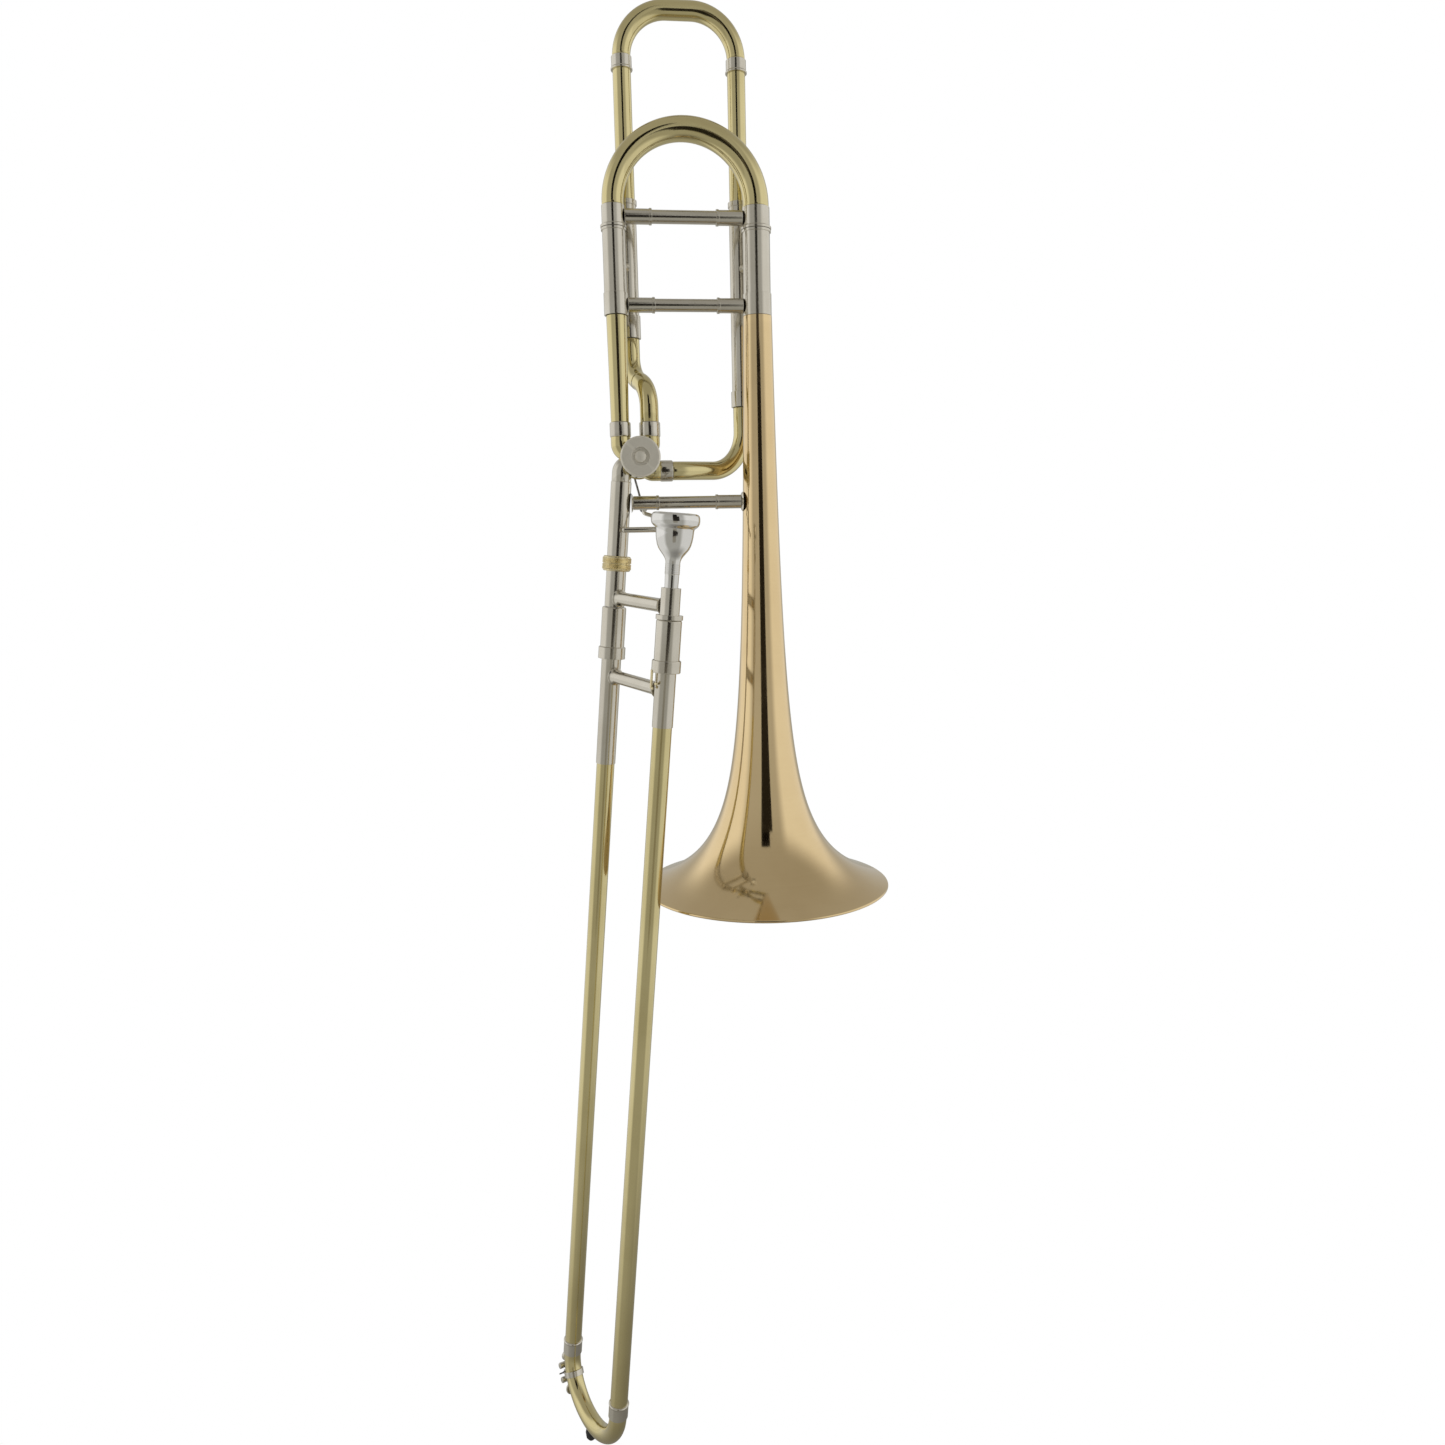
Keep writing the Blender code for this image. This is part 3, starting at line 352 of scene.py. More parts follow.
def spun_metal(name, colour, tone):
    """The bell's sheet, spun and burnished: faint rings round its axis under a clear lacquer."""
    material, net, shader = new_finish(name)
    point = object_point(net)
    x, y, z = split_axes(net, point)
    rings = noise(net, net.vector(x * 6.0, y * 6.0, z * 700.0), 1.0, 3.0, 0.6)
    cloud = net.between(noise(net, point, 9.0, 4.0, 0.6), 0.35, 0.75)
    freckle = net.between(noise(net, point, 430.0, 2.0, 0.5), 0.70, 0.80)
    marks = finger_marks(net, point)
    toned = net.blend(cloud * 0.38 + freckle * 0.25 + (rings - 0.5) * 0.18, colour, tone)
    edged = net.blend(worn_edge(net) * 0.3, toned, scaled(colour, 1.15))
    height = rings * 0.7 + noise(net, point, 2400.0, 2.0, 0.5) * 0.3
    bump = bumped(net, height, 0.2, 0.000004)
    set_shader(net, shader, {
        "Base Color": edged, "Metallic": 1.0, "Normal": bump, "Coat Weight": 0.5,
        "Coat Roughness": 0.04, "Coat IOR": 1.5,
        "Roughness": 0.07 + cloud * 0.035 + marks * 0.06 + rings * 0.02 + freckle * 0.07})
    return material


def faced_metal(name, colour, tone, centre):
    """A lathe-faced disc in the XZ plane: fine tool rings round its centre, and painted shade in its recesses.
    """
    material, net, shader = new_finish(name)
    point = object_point(net)
    here = net.term("ShaderNodeMapping", {"vector_type": "TEXTURE"}, {"Vector": point, "Location": centre})
    x, _, z = split_axes(net, here)
    radius = net.math("SQRT", x * x + z * z)
    rings = noise(net, net.vector(radius * 5200.0, x * 30.0, z * 30.0), 1.0, 2.0, 0.5)
    cloud = net.between(noise(net, here, 45.0, 3.0), 0.4, 0.7)
    marks = finger_marks(net, here)
    toned = net.blend(cloud * 0.25 + rings * 0.25, colour, tone)
    # painted shade: concave spots and recesses are darkened towards the tone, where shade falls
    painted_recess_shade = net.between(net.term("ShaderNodeNewGeometry", output="Pointiness"), 0.49, 0.45)
    shaded_in_recesses = net.blend(painted_recess_shade * 0.7, toned, scaled(tone, 0.35))
    edged = net.blend(worn_edge(net) * 0.4, shaded_in_recesses, scaled(colour, 1.2))
    bump = bumped(net, rings, 0.5, 0.000020)
    set_shader(net, shader, {
        "Base Color": edged, "Metallic": 0.55 + rings * 0.1, "Normal": bump,
        "Roughness": 0.42 + rings * 0.10 + marks * 0.06})
    return material


def bare_brass(name, colour, place):
    """Unlacquered brass: browned in patches and rubbed bright on its edges."""
    material, net, shader = new_finish(name)
    point = grain_point(net, place, 1.0)
    patch = net.between(noise(net, point, 240.0, 5.0, 0.65), 0.42, 0.68)
    browned = net.blend(patch * 0.6, colour, tuple(c * k for c, k in zip(colour, (0.70, 0.64, 0.55))))
    bright = net.blend(worn_edge(net) * 0.7, browned, scaled(colour, 1.3))
    grit = noise(net, point, 3200.0, 3.0, 0.6)
    bump = bumped(net, grit, 0.4, 0.00002)
    set_shader(net, shader, {"Base Color": bright, "Metallic": 1.0, "Normal": bump,
                             "Roughness": 0.16 + patch * 0.18 + grit * 0.06})
    return material


def blued_steel(name, colour, place):
    """Oiled steel, darker where the oil has gathered."""
    material, net, shader = new_finish(name)
    point = grain_point(net, place, 1.0)
    patch = net.between(noise(net, point, 300.0, 4.0, 0.6), 0.40, 0.65)
    toned = net.blend(patch * 0.7, colour, scaled(colour, 0.45))
    bright = net.blend(worn_edge(net) * 0.6, toned, (0.5, 0.49, 0.47))
    bump = bumped(net, noise(net, point, 2800.0), 0.4, 0.00002)
    set_shader(net, shader, {"Base Color": bright, "Metallic": 1.0, "Normal": bump,
                             "Roughness": 0.24 + patch * 0.16})
    return material


def moulded_rubber(name, colour, _place):
    """Black rubber with fine pores and a grey bloom of dust."""
    material, net, shader = new_finish(name)
    point = object_point(net)
    pores = noise(net, point, 2200.0, 4.0, 0.6)
    dust = net.between(noise(net, point, 160.0, 4.0), 0.48, 0.75)
    toned = net.blend(dust * 0.35, colour, (0.075, 0.072, 0.066))
    bump = bumped(net, pores, 0.7, 0.00006)
    set_shader(net, shader, {"Base Color": toned, "Roughness": 0.52 + dust * 0.25 + pores * 0.08,
                             "Normal": bump})
    return material


def pressed_cork(name, colour, _place):
    """Cork: light cells with dark flecks between them."""
    material, net, shader = new_finish(name)
    point = object_point(net)
    cells = net.term("ShaderNodeTexVoronoi", None, {"Vector": point, "Scale": 1500.0}, "Distance")
    fleck = net.between(noise(net, point, 1100.0, 3.0), 0.56, 0.66)
    toned = net.blend(fleck * 0.7, net.blend(cells, colour, scaled(colour, 1.35)),
                      (0.11, 0.055, 0.025))
    bump = bumped(net, cells - fleck, 0.8, 0.0001)
    set_shader(net, shader, {"Base Color": toned, "Roughness": 0.82 + fleck * 0.1, "Normal": bump})
    return material


FINISH_CACHE = {}


def finish(slot, place=None):
    """The material of a slot, turned to the piece's own axis."""
    turn = tuple(round(degrees(angle)) for angle in place.to_euler()) if place else (0, 0, 0)
    if (slot, turn) not in FINISH_CACHE:
        colour = tuple(getattr(setting("finish_colours"), slot))
        name = "%s_%d_%d_%d" % (slot, *turn)
        FINISH_CACHE[slot, turn] = make_finish(slot, name, colour, place)
    return FINISH_CACHE[slot, turn]


def make_finish(slot, name, colour, place):
    if slot == "yellow_brass":
        return polished_metal(name, colour, place, (0.53, 0.45, 0.21), 0.085, 0.35)
    if slot == "gold_brass":
        return spun_metal(name, colour, (0.58, 0.415, 0.205))
    if slot == "nickel_silver":
        return polished_metal(name, colour, place, (0.46, 0.42, 0.34), 0.12, 0.1, 0.35)
    if slot == "silver_plate":
        return polished_metal(name, colour, place, (0.55, 0.54, 0.51), 0.07, 0.0, 0.1)
    if slot == "chromed_tube":
        return polished_metal(name, colour, place, (0.50, 0.51, 0.52), 0.07, 0.0, 0.15)
    worked = {"raw_brass": bare_brass, "dark_steel": blued_steel, "rubber": moulded_rubber,
              "cork": pressed_cork}
    return worked[slot](name, colour, place)


# ---------------------------------------------------------------- reading the frame
def middle(node):
    low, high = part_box(node)
    return (low + high) / 2


def cad_points(node):
    return [vertex.co for vertex in frame["nodes"][node].data.vertices]


def axis_frame(node, axis, across=None):
    """A frame on a turned node's axis: Z along it, the origin level with the world's origin."""
    z = axis.normalized()
    x = across or z.orthogonal()
    x = (x - z * x.dot(z)).normalized()
    y = z.cross(x)
    centre = Vector()
    for direction in (x, y):
        reach = [point.dot(direction) for point in cad_points(node)]
        centre += direction * (min(reach) + max(reach)) / 2
    return Matrix.Translation(centre) @ Matrix((x, y, z)).transposed().to_4x4()


def span(node, place):
    """Lowest and highest corner of a node in a frame."""
    back = place.inverted()
    points = [back @ point for point in cad_points(node)]
    low = Vector([min(p[i] for p in points) for i in range(3)])
    high = Vector([max(p[i] for p in points) for i in range(3)])
    return low, high


def cad_outline(node, place):
    """A turned node's outline (radius, height), in the order of its edges."""
    back = place.inverted()
    mesh = frame["nodes"][node].data
    local = [back @ vertex.co for vertex in mesh.vertices]
    widest = max(local, key=lambda p: p.xy.length).xy.normalized()
    on_line = {}
    for index, point in enumerate(local):
        radius = point.xy.length
        if radius < 0.00001 or point.xy.dot(widest) > radius * 0.9995:
            on_line[index] = (round(radius, 5), round(point.z, 5))
    beside = {key: set() for key in on_line.values()}
    for edge in mesh.edges:
        a, b = (on_line.get(i) for i in edge.vertices)
        if a and b and a != b:
            beside[a].add(b)
            beside[b].add(a)
    close_flats(beside)
    ends = [key for key, near in beside.items() if len(near) == 1]
    here = ends[0] if ends else next(iter(beside))
    outline, last = [], None
    while here is not None:
        outline.append(here)
        onward = [key for key in beside[here] if key != last and key not in outline]
        last, here = here, (onward[0] if onward else None)
    return outline


def close_flats(beside):
    """Joins the loose ends that lie on one flat end face, or takes one to the axis."""
    loose = {}
    for key, near in beside.items():
        if len(near) < 2 and key[0] > 0:
            loose.setdefault(key[1], []).append(key)
    for height, keys in loose.items():
        keys.sort()
        while len(keys) >= 2:
            a, b = keys.pop(0), keys.pop(0)
            beside[a].add(b)
            beside[b].add(a)
        if keys:
            pole = (0.0, height)
            beside.setdefault(pole, set()).add(keys[0])
            beside[keys[0]].add(pole)


def joint_axis(name):
    return Vector(JOINTS[name]["axis"]).normalized()


def joint_place(name):
    return Vector(JOINTS[name]["pos_m"])


# ---------------------------------------------------------------- building pieces
def aim(start, end):
    """A frame at start whose Z axis points to end."""
    direction = Vector(end) - Vector(start)
    return Matrix.Translation(start) @ direction.to_track_quat("Z", "Y").to_matrix().to_4x4()


def settle(item, body, slot, nodes, place=None):
    """Gives a finished piece the material of its slot and its body, and hides the nodes it stands for."""
    item.data.materials.clear()
    item.data.materials.append(finish(slot, place))
    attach(item, body)
    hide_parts(*nodes)
    return item


def new_piece(name, mesh):
    item = bpy.data.objects.new(name, mesh)
    bpy.context.scene.collection.objects.link(item)
    return item


def clean_mesh(name, points, faces, place=None):
    """A closed mesh with its doubles merged and its faces pointing outwards."""
    mesh = bpy.data.meshes.new(name)
    mesh.from_pydata([tuple(p) for p in points], [], faces)
    work = bmesh.new()
    work.from_mesh(mesh)
    bmesh.ops.remove_doubles(work, verts=work.verts, dist=0.0000005)
    if place is not None:
        bmesh.ops.transform(work, matrix=place, verts=work.verts)
    bmesh.ops.recalc_face_normals(work, faces=work.faces)
    work.to_mesh(mesh)
    work.free()
    mesh.shade_smooth()
    return mesh


def soften(outline, rounding, closed):
    """An outline with its corners rounded, and a point beside each so that flats stay flat."""
    outline = [Vector(p) for p in outline]
    count = len(outline)
    result = []
    for i, corner in enumerate(outline):
        if not closed and i in (0, count - 1):
            result.append(corner)
            continue
        before, after = outline[i - 1] - corner, outline[(i + 1) % count] - corner
        if before.length < 1e-7 or after.length < 1e-7 or before.angle(after) > radians(160):
            result.append(corner)
            continue
        cut = min(rounding, before.length * 0.35, after.length * 0.35)
        start, end = corner + before.normalized() * cut, corner + after.normalized() * cut
        if before.length > 6 * cut:
            result.append(corner + before.normalized() * cut * 2.2)
        for step in range(ROUND_STEPS):
            t = step / (ROUND_STEPS - 1)
            result.append(start * (1 - t) ** 2 + corner * 2 * t * (1 - t) + end * t * t)
        if after.length > 6 * cut:
            result.append(corner + after.normalized() * cut * 2.2)
    return result


def skin(rings, closed):
    """Faces over rings of points with as many sides each."""
    sides = len(rings[0])
    pairs = len(rings) if closed else len(rings) - 1
    faces = []
    for i in range(pairs):
        a, b = i * sides, (i + 1) % len(rings) * sides
        faces += [(a + s, a + (s + 1) % sides, b + (s + 1) % sides, b + s) for s in range(sides)]
    return [p for ring in rings for p in ring], faces


def lathe_mesh(name, outline, place, sides=SIDES, rounding=EDGE):
    """A turned shape; an outline that never meets the axis is joined up into a hollow one."""
    hollow = min(radius for radius, _ in outline) > 0
    rings = [[(p[0] * cos(2 * pi * s / sides), p[0] * sin(2 * pi * s / sides), p[1]) for s in range(sides)]
             for p in soften(outline, rounding, hollow)]
    return clean_mesh(name, *skin(rings, hollow), place)


def turned(name, outline, body, slot, nodes=(), place=None, sides=SIDES, rounding=EDGE):
    place = place or Matrix.Identity(4)
    item = new_piece(name, lathe_mesh(name, outline, place, sides, rounding))
    return settle(item, body, slot, nodes, place)


def turned_again(node, body, slot, axis=UP, sides=SIDES, across=None):
    """A turned node made again, round and with softened edges."""
    place = axis_frame(node, axis, across)
    return turned(node + "_turned", cad_outline(node, place), body, slot, [node], place, sides)


def arc_route(points, radii, step=BEND_STEP):
    """The line through points with each inner corner rounded to its bend radius."""
    points = [Vector(p) for p in points]
    route = [points[0]]
    for before, corner, after, radius in zip(points, points[1:], points[2:], radii):
        u = (before - corner).normalized()
        v = (after - corner).normalized()
        turn = pi - u.angle(v)
        reach = radius * tan(turn / 2)
        centre = corner + (u + v).normalized() * (radius / cos(turn / 2))
        start = corner + u * reach - centre
        axis = start.cross(corner + v * reach - centre).normalized()
        count = max(3, round(turn / step))
        for i in range(count + 1):
            route.append(centre + Matrix.Rotation(turn * i / count, 3, axis) @ start)
    route.append(points[-1])
    return [p for i, p in enumerate(route) if i == 0 or (p - route[i - 1]).length > 0.00001]


def half_turn(start, end, outward, depth):
    """A half ellipse from start to end, bulging by depth in the outward direction."""
    count = 60
    centre, half = (start + end) / 2, (end - start) / 2
    angles = [pi * i / count for i in range(count + 1)]
    return [centre - half * cos(a) + outward * depth * sin(a) for a in angles]


def tube_mesh(name, route, radius, wall=0.0, end_radius=None, sides=SIDES, cap=EDGE):
    """A tube along a route: hollow with a wall, or a solid bar with rounded ends without one."""
    route = [Vector(p) for p in route]
    tangents = [(route[min(i + 1, len(route) - 1)] - route[max(i - 1, 0)]).normalized()
                for i in range(len(route))]
    side = tangents[0].orthogonal().normalized()
    growth = (end_radius or radius) - radius
    stations = []
    for i, (point, tangent) in enumerate(zip(route, tangents)):
        side = (side - tangent * side.dot(tangent)).normalized()
        other = tangent.cross(side)
        outer = radius + growth * i / (len(route) - 1)
        around = [side * cos(2 * pi * s / sides) + other * sin(2 * pi * s / sides) for s in range(sides)]
        stations.append((point, tangent, around, outer))
    rounded = [(cap, 0.0), (cap * 0.4, cap * 0.35), (0.0, cap)]
    point, tangent, around, outer = stations[0]
    rings = [[point + tangent * forward + d * (outer - inset) for d in around] for inset, forward in rounded]
    rings += [[point + d * outer for d in around] for point, _, around, outer in stations[1:-1]]
    point, tangent, around, outer = stations[-1]
    rings += [[point - tangent * forward + d * (outer - inset) for d in around]
              for inset, forward in reversed(rounded)]
    if wall:
        rings += [[point + d * (outer - wall) for d in around]
                  for point, _, around, outer in reversed(stations)]
        return clean_mesh(name, *skin(rings, True))
    return clean_mesh(name, *skin([[route[0]] * sides, *rings, [route[-1]] * sides], False))


def bent_tube(name, route, radius, body, slot, nodes, wall=None, end_radius=None):
    wall = wall or setting("tube_sizes").wall
    return settle(new_piece(name, tube_mesh(name, route, radius, wall, end_radius)), body, slot, nodes)


def block_mesh(name, low, high, rounding=0.0004, place=None):
    """A bar with rounded edges between two corners."""
    mesh = bpy.data.meshes.new(name)
    work = bmesh.new()
    low, high = Vector(low), Vector(high)
    centre = Matrix.Translation((low + high) / 2) @ Matrix.Diagonal((*(high - low), 1))
    bmesh.ops.create_cube(work, size=1, matrix=centre)
    bmesh.ops.bevel(work, geom=work.edges[:], offset=rounding, segments=4, profile=0.5,
                    affect="EDGES", clamp_overlap=True)
    if place is not None:
        bmesh.ops.transform(work, matrix=place, verts=work.verts)
    work.to_mesh(mesh)
    work.free()
    mesh.shade_smooth()
    return mesh


def ball_mesh(name, centre, radius):
    outline = [(radius * sin(pi * i / 24), radius * cos(pi * i / 24)) for i in range(25)]
    outline[0], outline[-1] = (0, radius), (0, -radius)
    return lathe_mesh(name, outline, Matrix.Translation(centre), 48, 0)


def rod_between(name, start, end, radius, sides=48, rounding=EDGE):
    length = (Vector(end) - Vector(start)).length
    return lathe_mesh(name, [(0, 0), (radius, 0), (radius, length), (0, length)], aim(start, end), sides,
                      rounding)


def fused(name, meshes, body, slot, nodes, holes=(), fillet=0.0002, place=None):
    """Closed meshes joined into one solid by Booleans, holes cut, and the new edges filleted."""
    item = new_piece(name, meshes[0])
    helpers = []
    for mesh, operation in [(m, "UNION") for m in meshes[1:]] + [(m, "DIFFERENCE") for m in holes]:
        helper = new_piece("helper", mesh)
        helpers.append(helper)
        boolean = item.modifiers.new(operation.title(), "BOOLEAN")
        boolean.operation = operation
        boolean.solver = "EXACT"
        boolean.object = helper
    bevel = item.modifiers.new("Fillet", "BEVEL")
    bevel.width = fillet
    bevel.segments = 2
    bevel.limit_method = "ANGLE"
    bevel.angle_limit = radians(40)
    even = item.modifiers.new("Even", "WEIGHTED_NORMAL")
    even.keep_sharp = True
    bpy.context.view_layer.update()
    depsgraph = bpy.context.evaluated_depsgraph_get()
    mesh = bpy.data.meshes.new_from_object(item.evaluated_get(depsgraph))
    item.modifiers.clear()
    item.data = mesh
    mesh.name = name
    for helper in helpers:
        bpy.data.objects.remove(helper, do_unlink=True)
    return settle(item, body, slot, nodes, place)


# ---------------------------------------------------------------- geometry node trees
def geometry_tree(name, inputs):
    """An empty tree with named number inputs, a Material input and a geometry output."""
    tree = bpy.data.node_groups.new(name, "GeometryNodeTree")
    for label, kind in inputs:
        tree.interface.new_socket(label, in_out="INPUT", socket_type=kind)
    tree.interface.new_socket("Material", in_out="INPUT", socket_type="NodeSocketMaterial")
    tree.interface.new_socket("Geometry", in_out="OUTPUT", socket_type="NodeSocketGeometry")
    net = Net(tree)
    group = net.node("NodeGroupInput")
    return net, {socket.name: Term(net, socket) for socket in group.outputs if socket.name}


def close_tree(net, geometry, material):
    """Ends a tree in real geometry with its material."""
    real = net.term("GeometryNodeRealizeInstances", None, {"Geometry": geometry})
    smooth = net.term("GeometryNodeSetShadeSmooth", None, {"Geometry": real, "Shade Smooth": True})
    done = net.term("GeometryNodeSetMaterial", None, {"Geometry": smooth, "Material": material})
    net.node("NodeGroupOutput", None, {"Geometry": done})


def grown(name, tree, values, material, place=None):
    """The mesh a tree gives for its input values."""
    item = new_piece(name, bpy.data.meshes.new(name))
    modifier = item.modifiers.new("Tree", "NODES")
    modifier.node_group = tree
    for socket in tree.interface.items_tree:
        if socket.in_out == "INPUT":
            value = material if socket.name == "Material" else values[socket.name]
            modifier[socket.identifier] = value
    bpy.context.view_layer.update()
    depsgraph = bpy.context.evaluated_depsgraph_get()
    mesh = bpy.data.meshes.new_from_object(item.evaluated_get(depsgraph))
    bpy.data.objects.remove(item, do_unlink=True)
    work = bmesh.new()
    work.from_mesh(mesh)
    if place is not None:
        bmesh.ops.transform(work, matrix=place, verts=work.verts)
    bmesh.ops.recalc_face_normals(work, faces=work.faces)
    work.to_mesh(mesh)
    work.free()
    return mesh


def bell_tree():
    """The bell as strips turned round its axis: the outside, the rim bead, the inside and the stem end.

    Radius at a height is a tapered stem plus a flare that falls off as a power of the height.
    """
    numbers = ("Length", "Mouth Radius", "Stem Radius", "Taper", "Flare Length", "Flare Power", "Wall",
               "Bead", "Bead Start", "Bead End")
    net, value = geometry_tree("bell_shape", [(n, "NodeSocketFloat") for n in numbers]
                               + [("Rows", "NodeSocketInt"), ("Sides", "NodeSocketInt")])
    crowd = 2.2                       # rows gather towards the mouth
    amplitude = (value["Mouth Radius"] - value["Stem Radius"] - value["Taper"] * value["Length"])

    def strip(rows, shape):
        grid = net.node("GeometryNodeMeshGrid", None,
                        {"Size X": 1.0, "Size Y": 1.0, "Vertices X": value["Sides"], "Vertices Y": rows})
        place = net.node("ShaderNodeSeparateXYZ", None, {"Vector": net.term("GeometryNodeInputPosition")})
        turn = (Term(net, place.outputs["X"]) + 0.5) * (2 * pi)
        radius, height = shape(Term(net, place.outputs["Y"]) + 0.5)
        spot = net.vector(radius * net.math("COSINE", turn), radius * net.math("SINE", turn), height)
        return net.term("GeometryNodeSetPosition", None,
                        {"Geometry": Term(net, grid.outputs["Mesh"]), "Position": spot})

    def wall_at(share, base):
        rise = value["Length"] * (1.0 - share) ** crowd
        flare = (value["Flare Length"] / (rise + value["Flare Length"])) ** value["Flare Power"]
        radius = value["Stem Radius"] + value["Taper"] * (value["Length"] - rise) + amplitude * flare
        return radius, base + rise * (1.0 - base / value["Length"])

    def outside(share):
        return wall_at(share, value["Bead"] * net.math("COSINE", value["Bead Start"]))

    def inside(share):
        radius, height = wall_at(share, value["Bead"] * net.math("COSINE", value["Bead End"]))
        return radius - value["Wall"], height

    def bead(share):
        angle = value["Bead Start"] + (value["Bead End"] - value["Bead Start"]) * share
        centre = value["Mouth Radius"] - value["Bead"] * net.math("SINE", value["Bead Start"])
        return (centre + value["Bead"] * net.math("SINE", angle),
                value["Bead"] * net.math("COSINE", angle))

    def stem_end(share):
        return value["Stem Radius"] + amplitude * (
            value["Flare Length"] / (value["Length"] + value["Flare Length"])) ** value["Flare Power"] \
            - value["Wall"] * share, value["Length"] + share * 0.0

    joined = net.node("GeometryNodeJoinGeometry")
    for rows, shape in ((value["Rows"], outside), (24, bead), (value["Rows"], inside), (2, stem_end)):
        net.tree.links.new(strip(rows, shape).socket, joined.inputs["Geometry"])
    merged = net.term("GeometryNodeMergeByDistance", None,
                      {"Geometry": Term(net, joined.outputs["Geometry"]), "Distance": 0.00002})
    close_tree(net, merged, value["Material"])
    return net.tree


def knurl_tree():
    """Rows of small pyramids round a band, each row shifted by half a pitch, as a knurling tool leaves."""
    net, value = geometry_tree("knurling", [
        ("Radius", "NodeSocketFloat"), ("Low", "NodeSocketFloat"), ("Pitch", "NodeSocketFloat"),
        ("Depth", "NodeSocketFloat"), ("Around", "NodeSocketInt"), ("Rows", "NodeSocketInt")])
    points = net.term("GeometryNodePoints", None, {"Count": value["Around"] * value["Rows"]})
    index = net.term("GeometryNodeInputIndex")
    row = net.math("FLOOR", index / value["Around"])
    turn = (index + row * 0.5) / value["Around"] * (2 * pi)
    spot = net.vector(value["Radius"] * net.math("COSINE", turn), value["Radius"] * net.math("SINE", turn),
                      value["Low"] + (row + 0.5) * value["Pitch"])
    placed = net.term("GeometryNodeSetPosition", None, {"Geometry": points, "Position": spot})
    stud = net.node("GeometryNodeMeshCone", None,
                    {"Vertices": 4, "Radius Top": value["Pitch"] * 0.12,
                     "Radius Bottom": value["Pitch"] * 0.62, "Depth": value["Depth"]})
    facing = net.term("FunctionNodeEulerToRotation", None, {"Euler": net.vector(0.0, pi / 2, turn)})
    studs = net.term("GeometryNodeInstanceOnPoints", None, {
        "Points": placed, "Instance": Term(net, stud.outputs["Mesh"]), "Rotation": facing})
    close_tree(net, studs, value["Material"])
    return net.tree


def spring_tree():
    """A coil of wire along Z."""
    net, value = geometry_tree("coil", [("Turns", "NodeSocketFloat"), ("Coil Radius", "NodeSocketFloat"),
                                        ("Height", "NodeSocketFloat"), ("Wire", "NodeSocketFloat")])
    line = net.term("GeometryNodeCurveSpiral", None, {
        "Resolution": 28, "Rotations": value["Turns"], "Start Radius": value["Coil Radius"],
        "End Radius": value["Coil Radius"], "Height": value["Height"]})
    round_wire = net.term("GeometryNodeCurvePrimitiveCircle", None,
                          {"Resolution": 10, "Radius": value["Wire"]})
    wire = net.term("GeometryNodeCurveToMesh", None,
                    {"Curve": line, "Profile Curve": round_wire, "Fill Caps": True})
    close_tree(net, wire, value["Material"])
    return net.tree


def joined_mesh(name, meshes):
    """Several closed meshes as one, each keeping its own surface."""
    work = bmesh.new()
    for mesh in meshes:
        work.from_mesh(mesh)
    mesh = bpy.data.meshes.new(name)
    work.to_mesh(mesh)
    work.free()
    return mesh


# ---------------------------------------------------------------- bell and main tuning slide
def make_bell():
    """The bell grown from its flare rule; its rim bead runs from the outside round to the inside."""
    sizes = setting("bell_sizes")
    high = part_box("bell")[1]
    outer = high.x
    slope = sizes.stem_taper + sizes.flare_power / sizes.flare_length * (
        outer - sizes.bead - sizes.stem_radius - sizes.stem_taper * high.z)
    start = atan(1 / slope)
    mouth = outer - sizes.bead + sizes.bead * sin(start)
    end = 2 * pi + asin(sin(start) - sizes.wall / sizes.bead)
    mesh = grown("bell_spun", bell_tree(), {
        "Length": high.z, "Mouth Radius": mouth, "Stem Radius": sizes.stem_radius,
        "Taper": sizes.stem_taper, "Flare Length": sizes.flare_length, "Flare Power": sizes.flare_power,
        "Wall": sizes.wall, "Bead": sizes.bead, "Bead Start": start, "Bead End": end,
        "Rows": sizes.rows, "Sides": FINE_SIDES + 1}, finish("gold_brass"))
    mesh.set_sharp_from_angle(angle=radians(35))
    settle(new_piece("bell_spun", mesh), "bell_section", "gold_brass", ["bell"])


def make_main_slide():
    """The main tuning slide and the two sleeves that take its legs."""
    for node in ("gooseneck_sleeve", "bell_sleeve"):
        turned_again(node, "bell_section", "nickel_silver")
    for node in ("main_leg_left", "main_leg_right"):
        turned_again(node, "main_tuning_slide", "nickel_silver")
    turned_again("main_slide_brace", "main_tuning_slide", "nickel_silver", Vector((1, 0, 0)))
    sizes = setting("tube_sizes")
    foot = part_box("main_crook")[0].z
    start = Vector((middle("main_leg_left").x, 0, foot))
    end = Vector((middle("main_leg_right").x, 0, foot))
    lead = Vector((0, 0, 0.002))
    arc = half_turn(start + lead, end + lead, UP, (end - start).length / 2 - 0.0012)
    bent_tube("main_crook_bent", [start, *arc, end], sizes.crook_left, "main_tuning_slide", "yellow_brass",
              ["main_crook"], end_radius=sizes.crook_right)


# ---------------------------------------------------------------- gooseneck, braces
def make_braces():
    """The gooseneck, the braces across to the bell and the struts to the F attachment."""
    turned_again("gooseneck", "bell_section", "yellow_brass")
    turned_again("gooseneck_ferrule", "bell_section", "nickel_silver")
    for node in ("upper_brace", "lower_brace", "neck_flange", "bell_flange"):
        turned_again(node, "bell_section", "nickel_silver", Vector((1, 0, 0)))
    for side in ("left", "right"):
        near = middle("gooseneck_sleeve" if side == "left" else "bell_sleeve")
        far = middle("f_sleeve_" + side)
        direction = Vector((far.x - near.x, far.y - near.y, 0))
        turned_again("strut_" + side, "bell_section", "nickel_silver", direction)


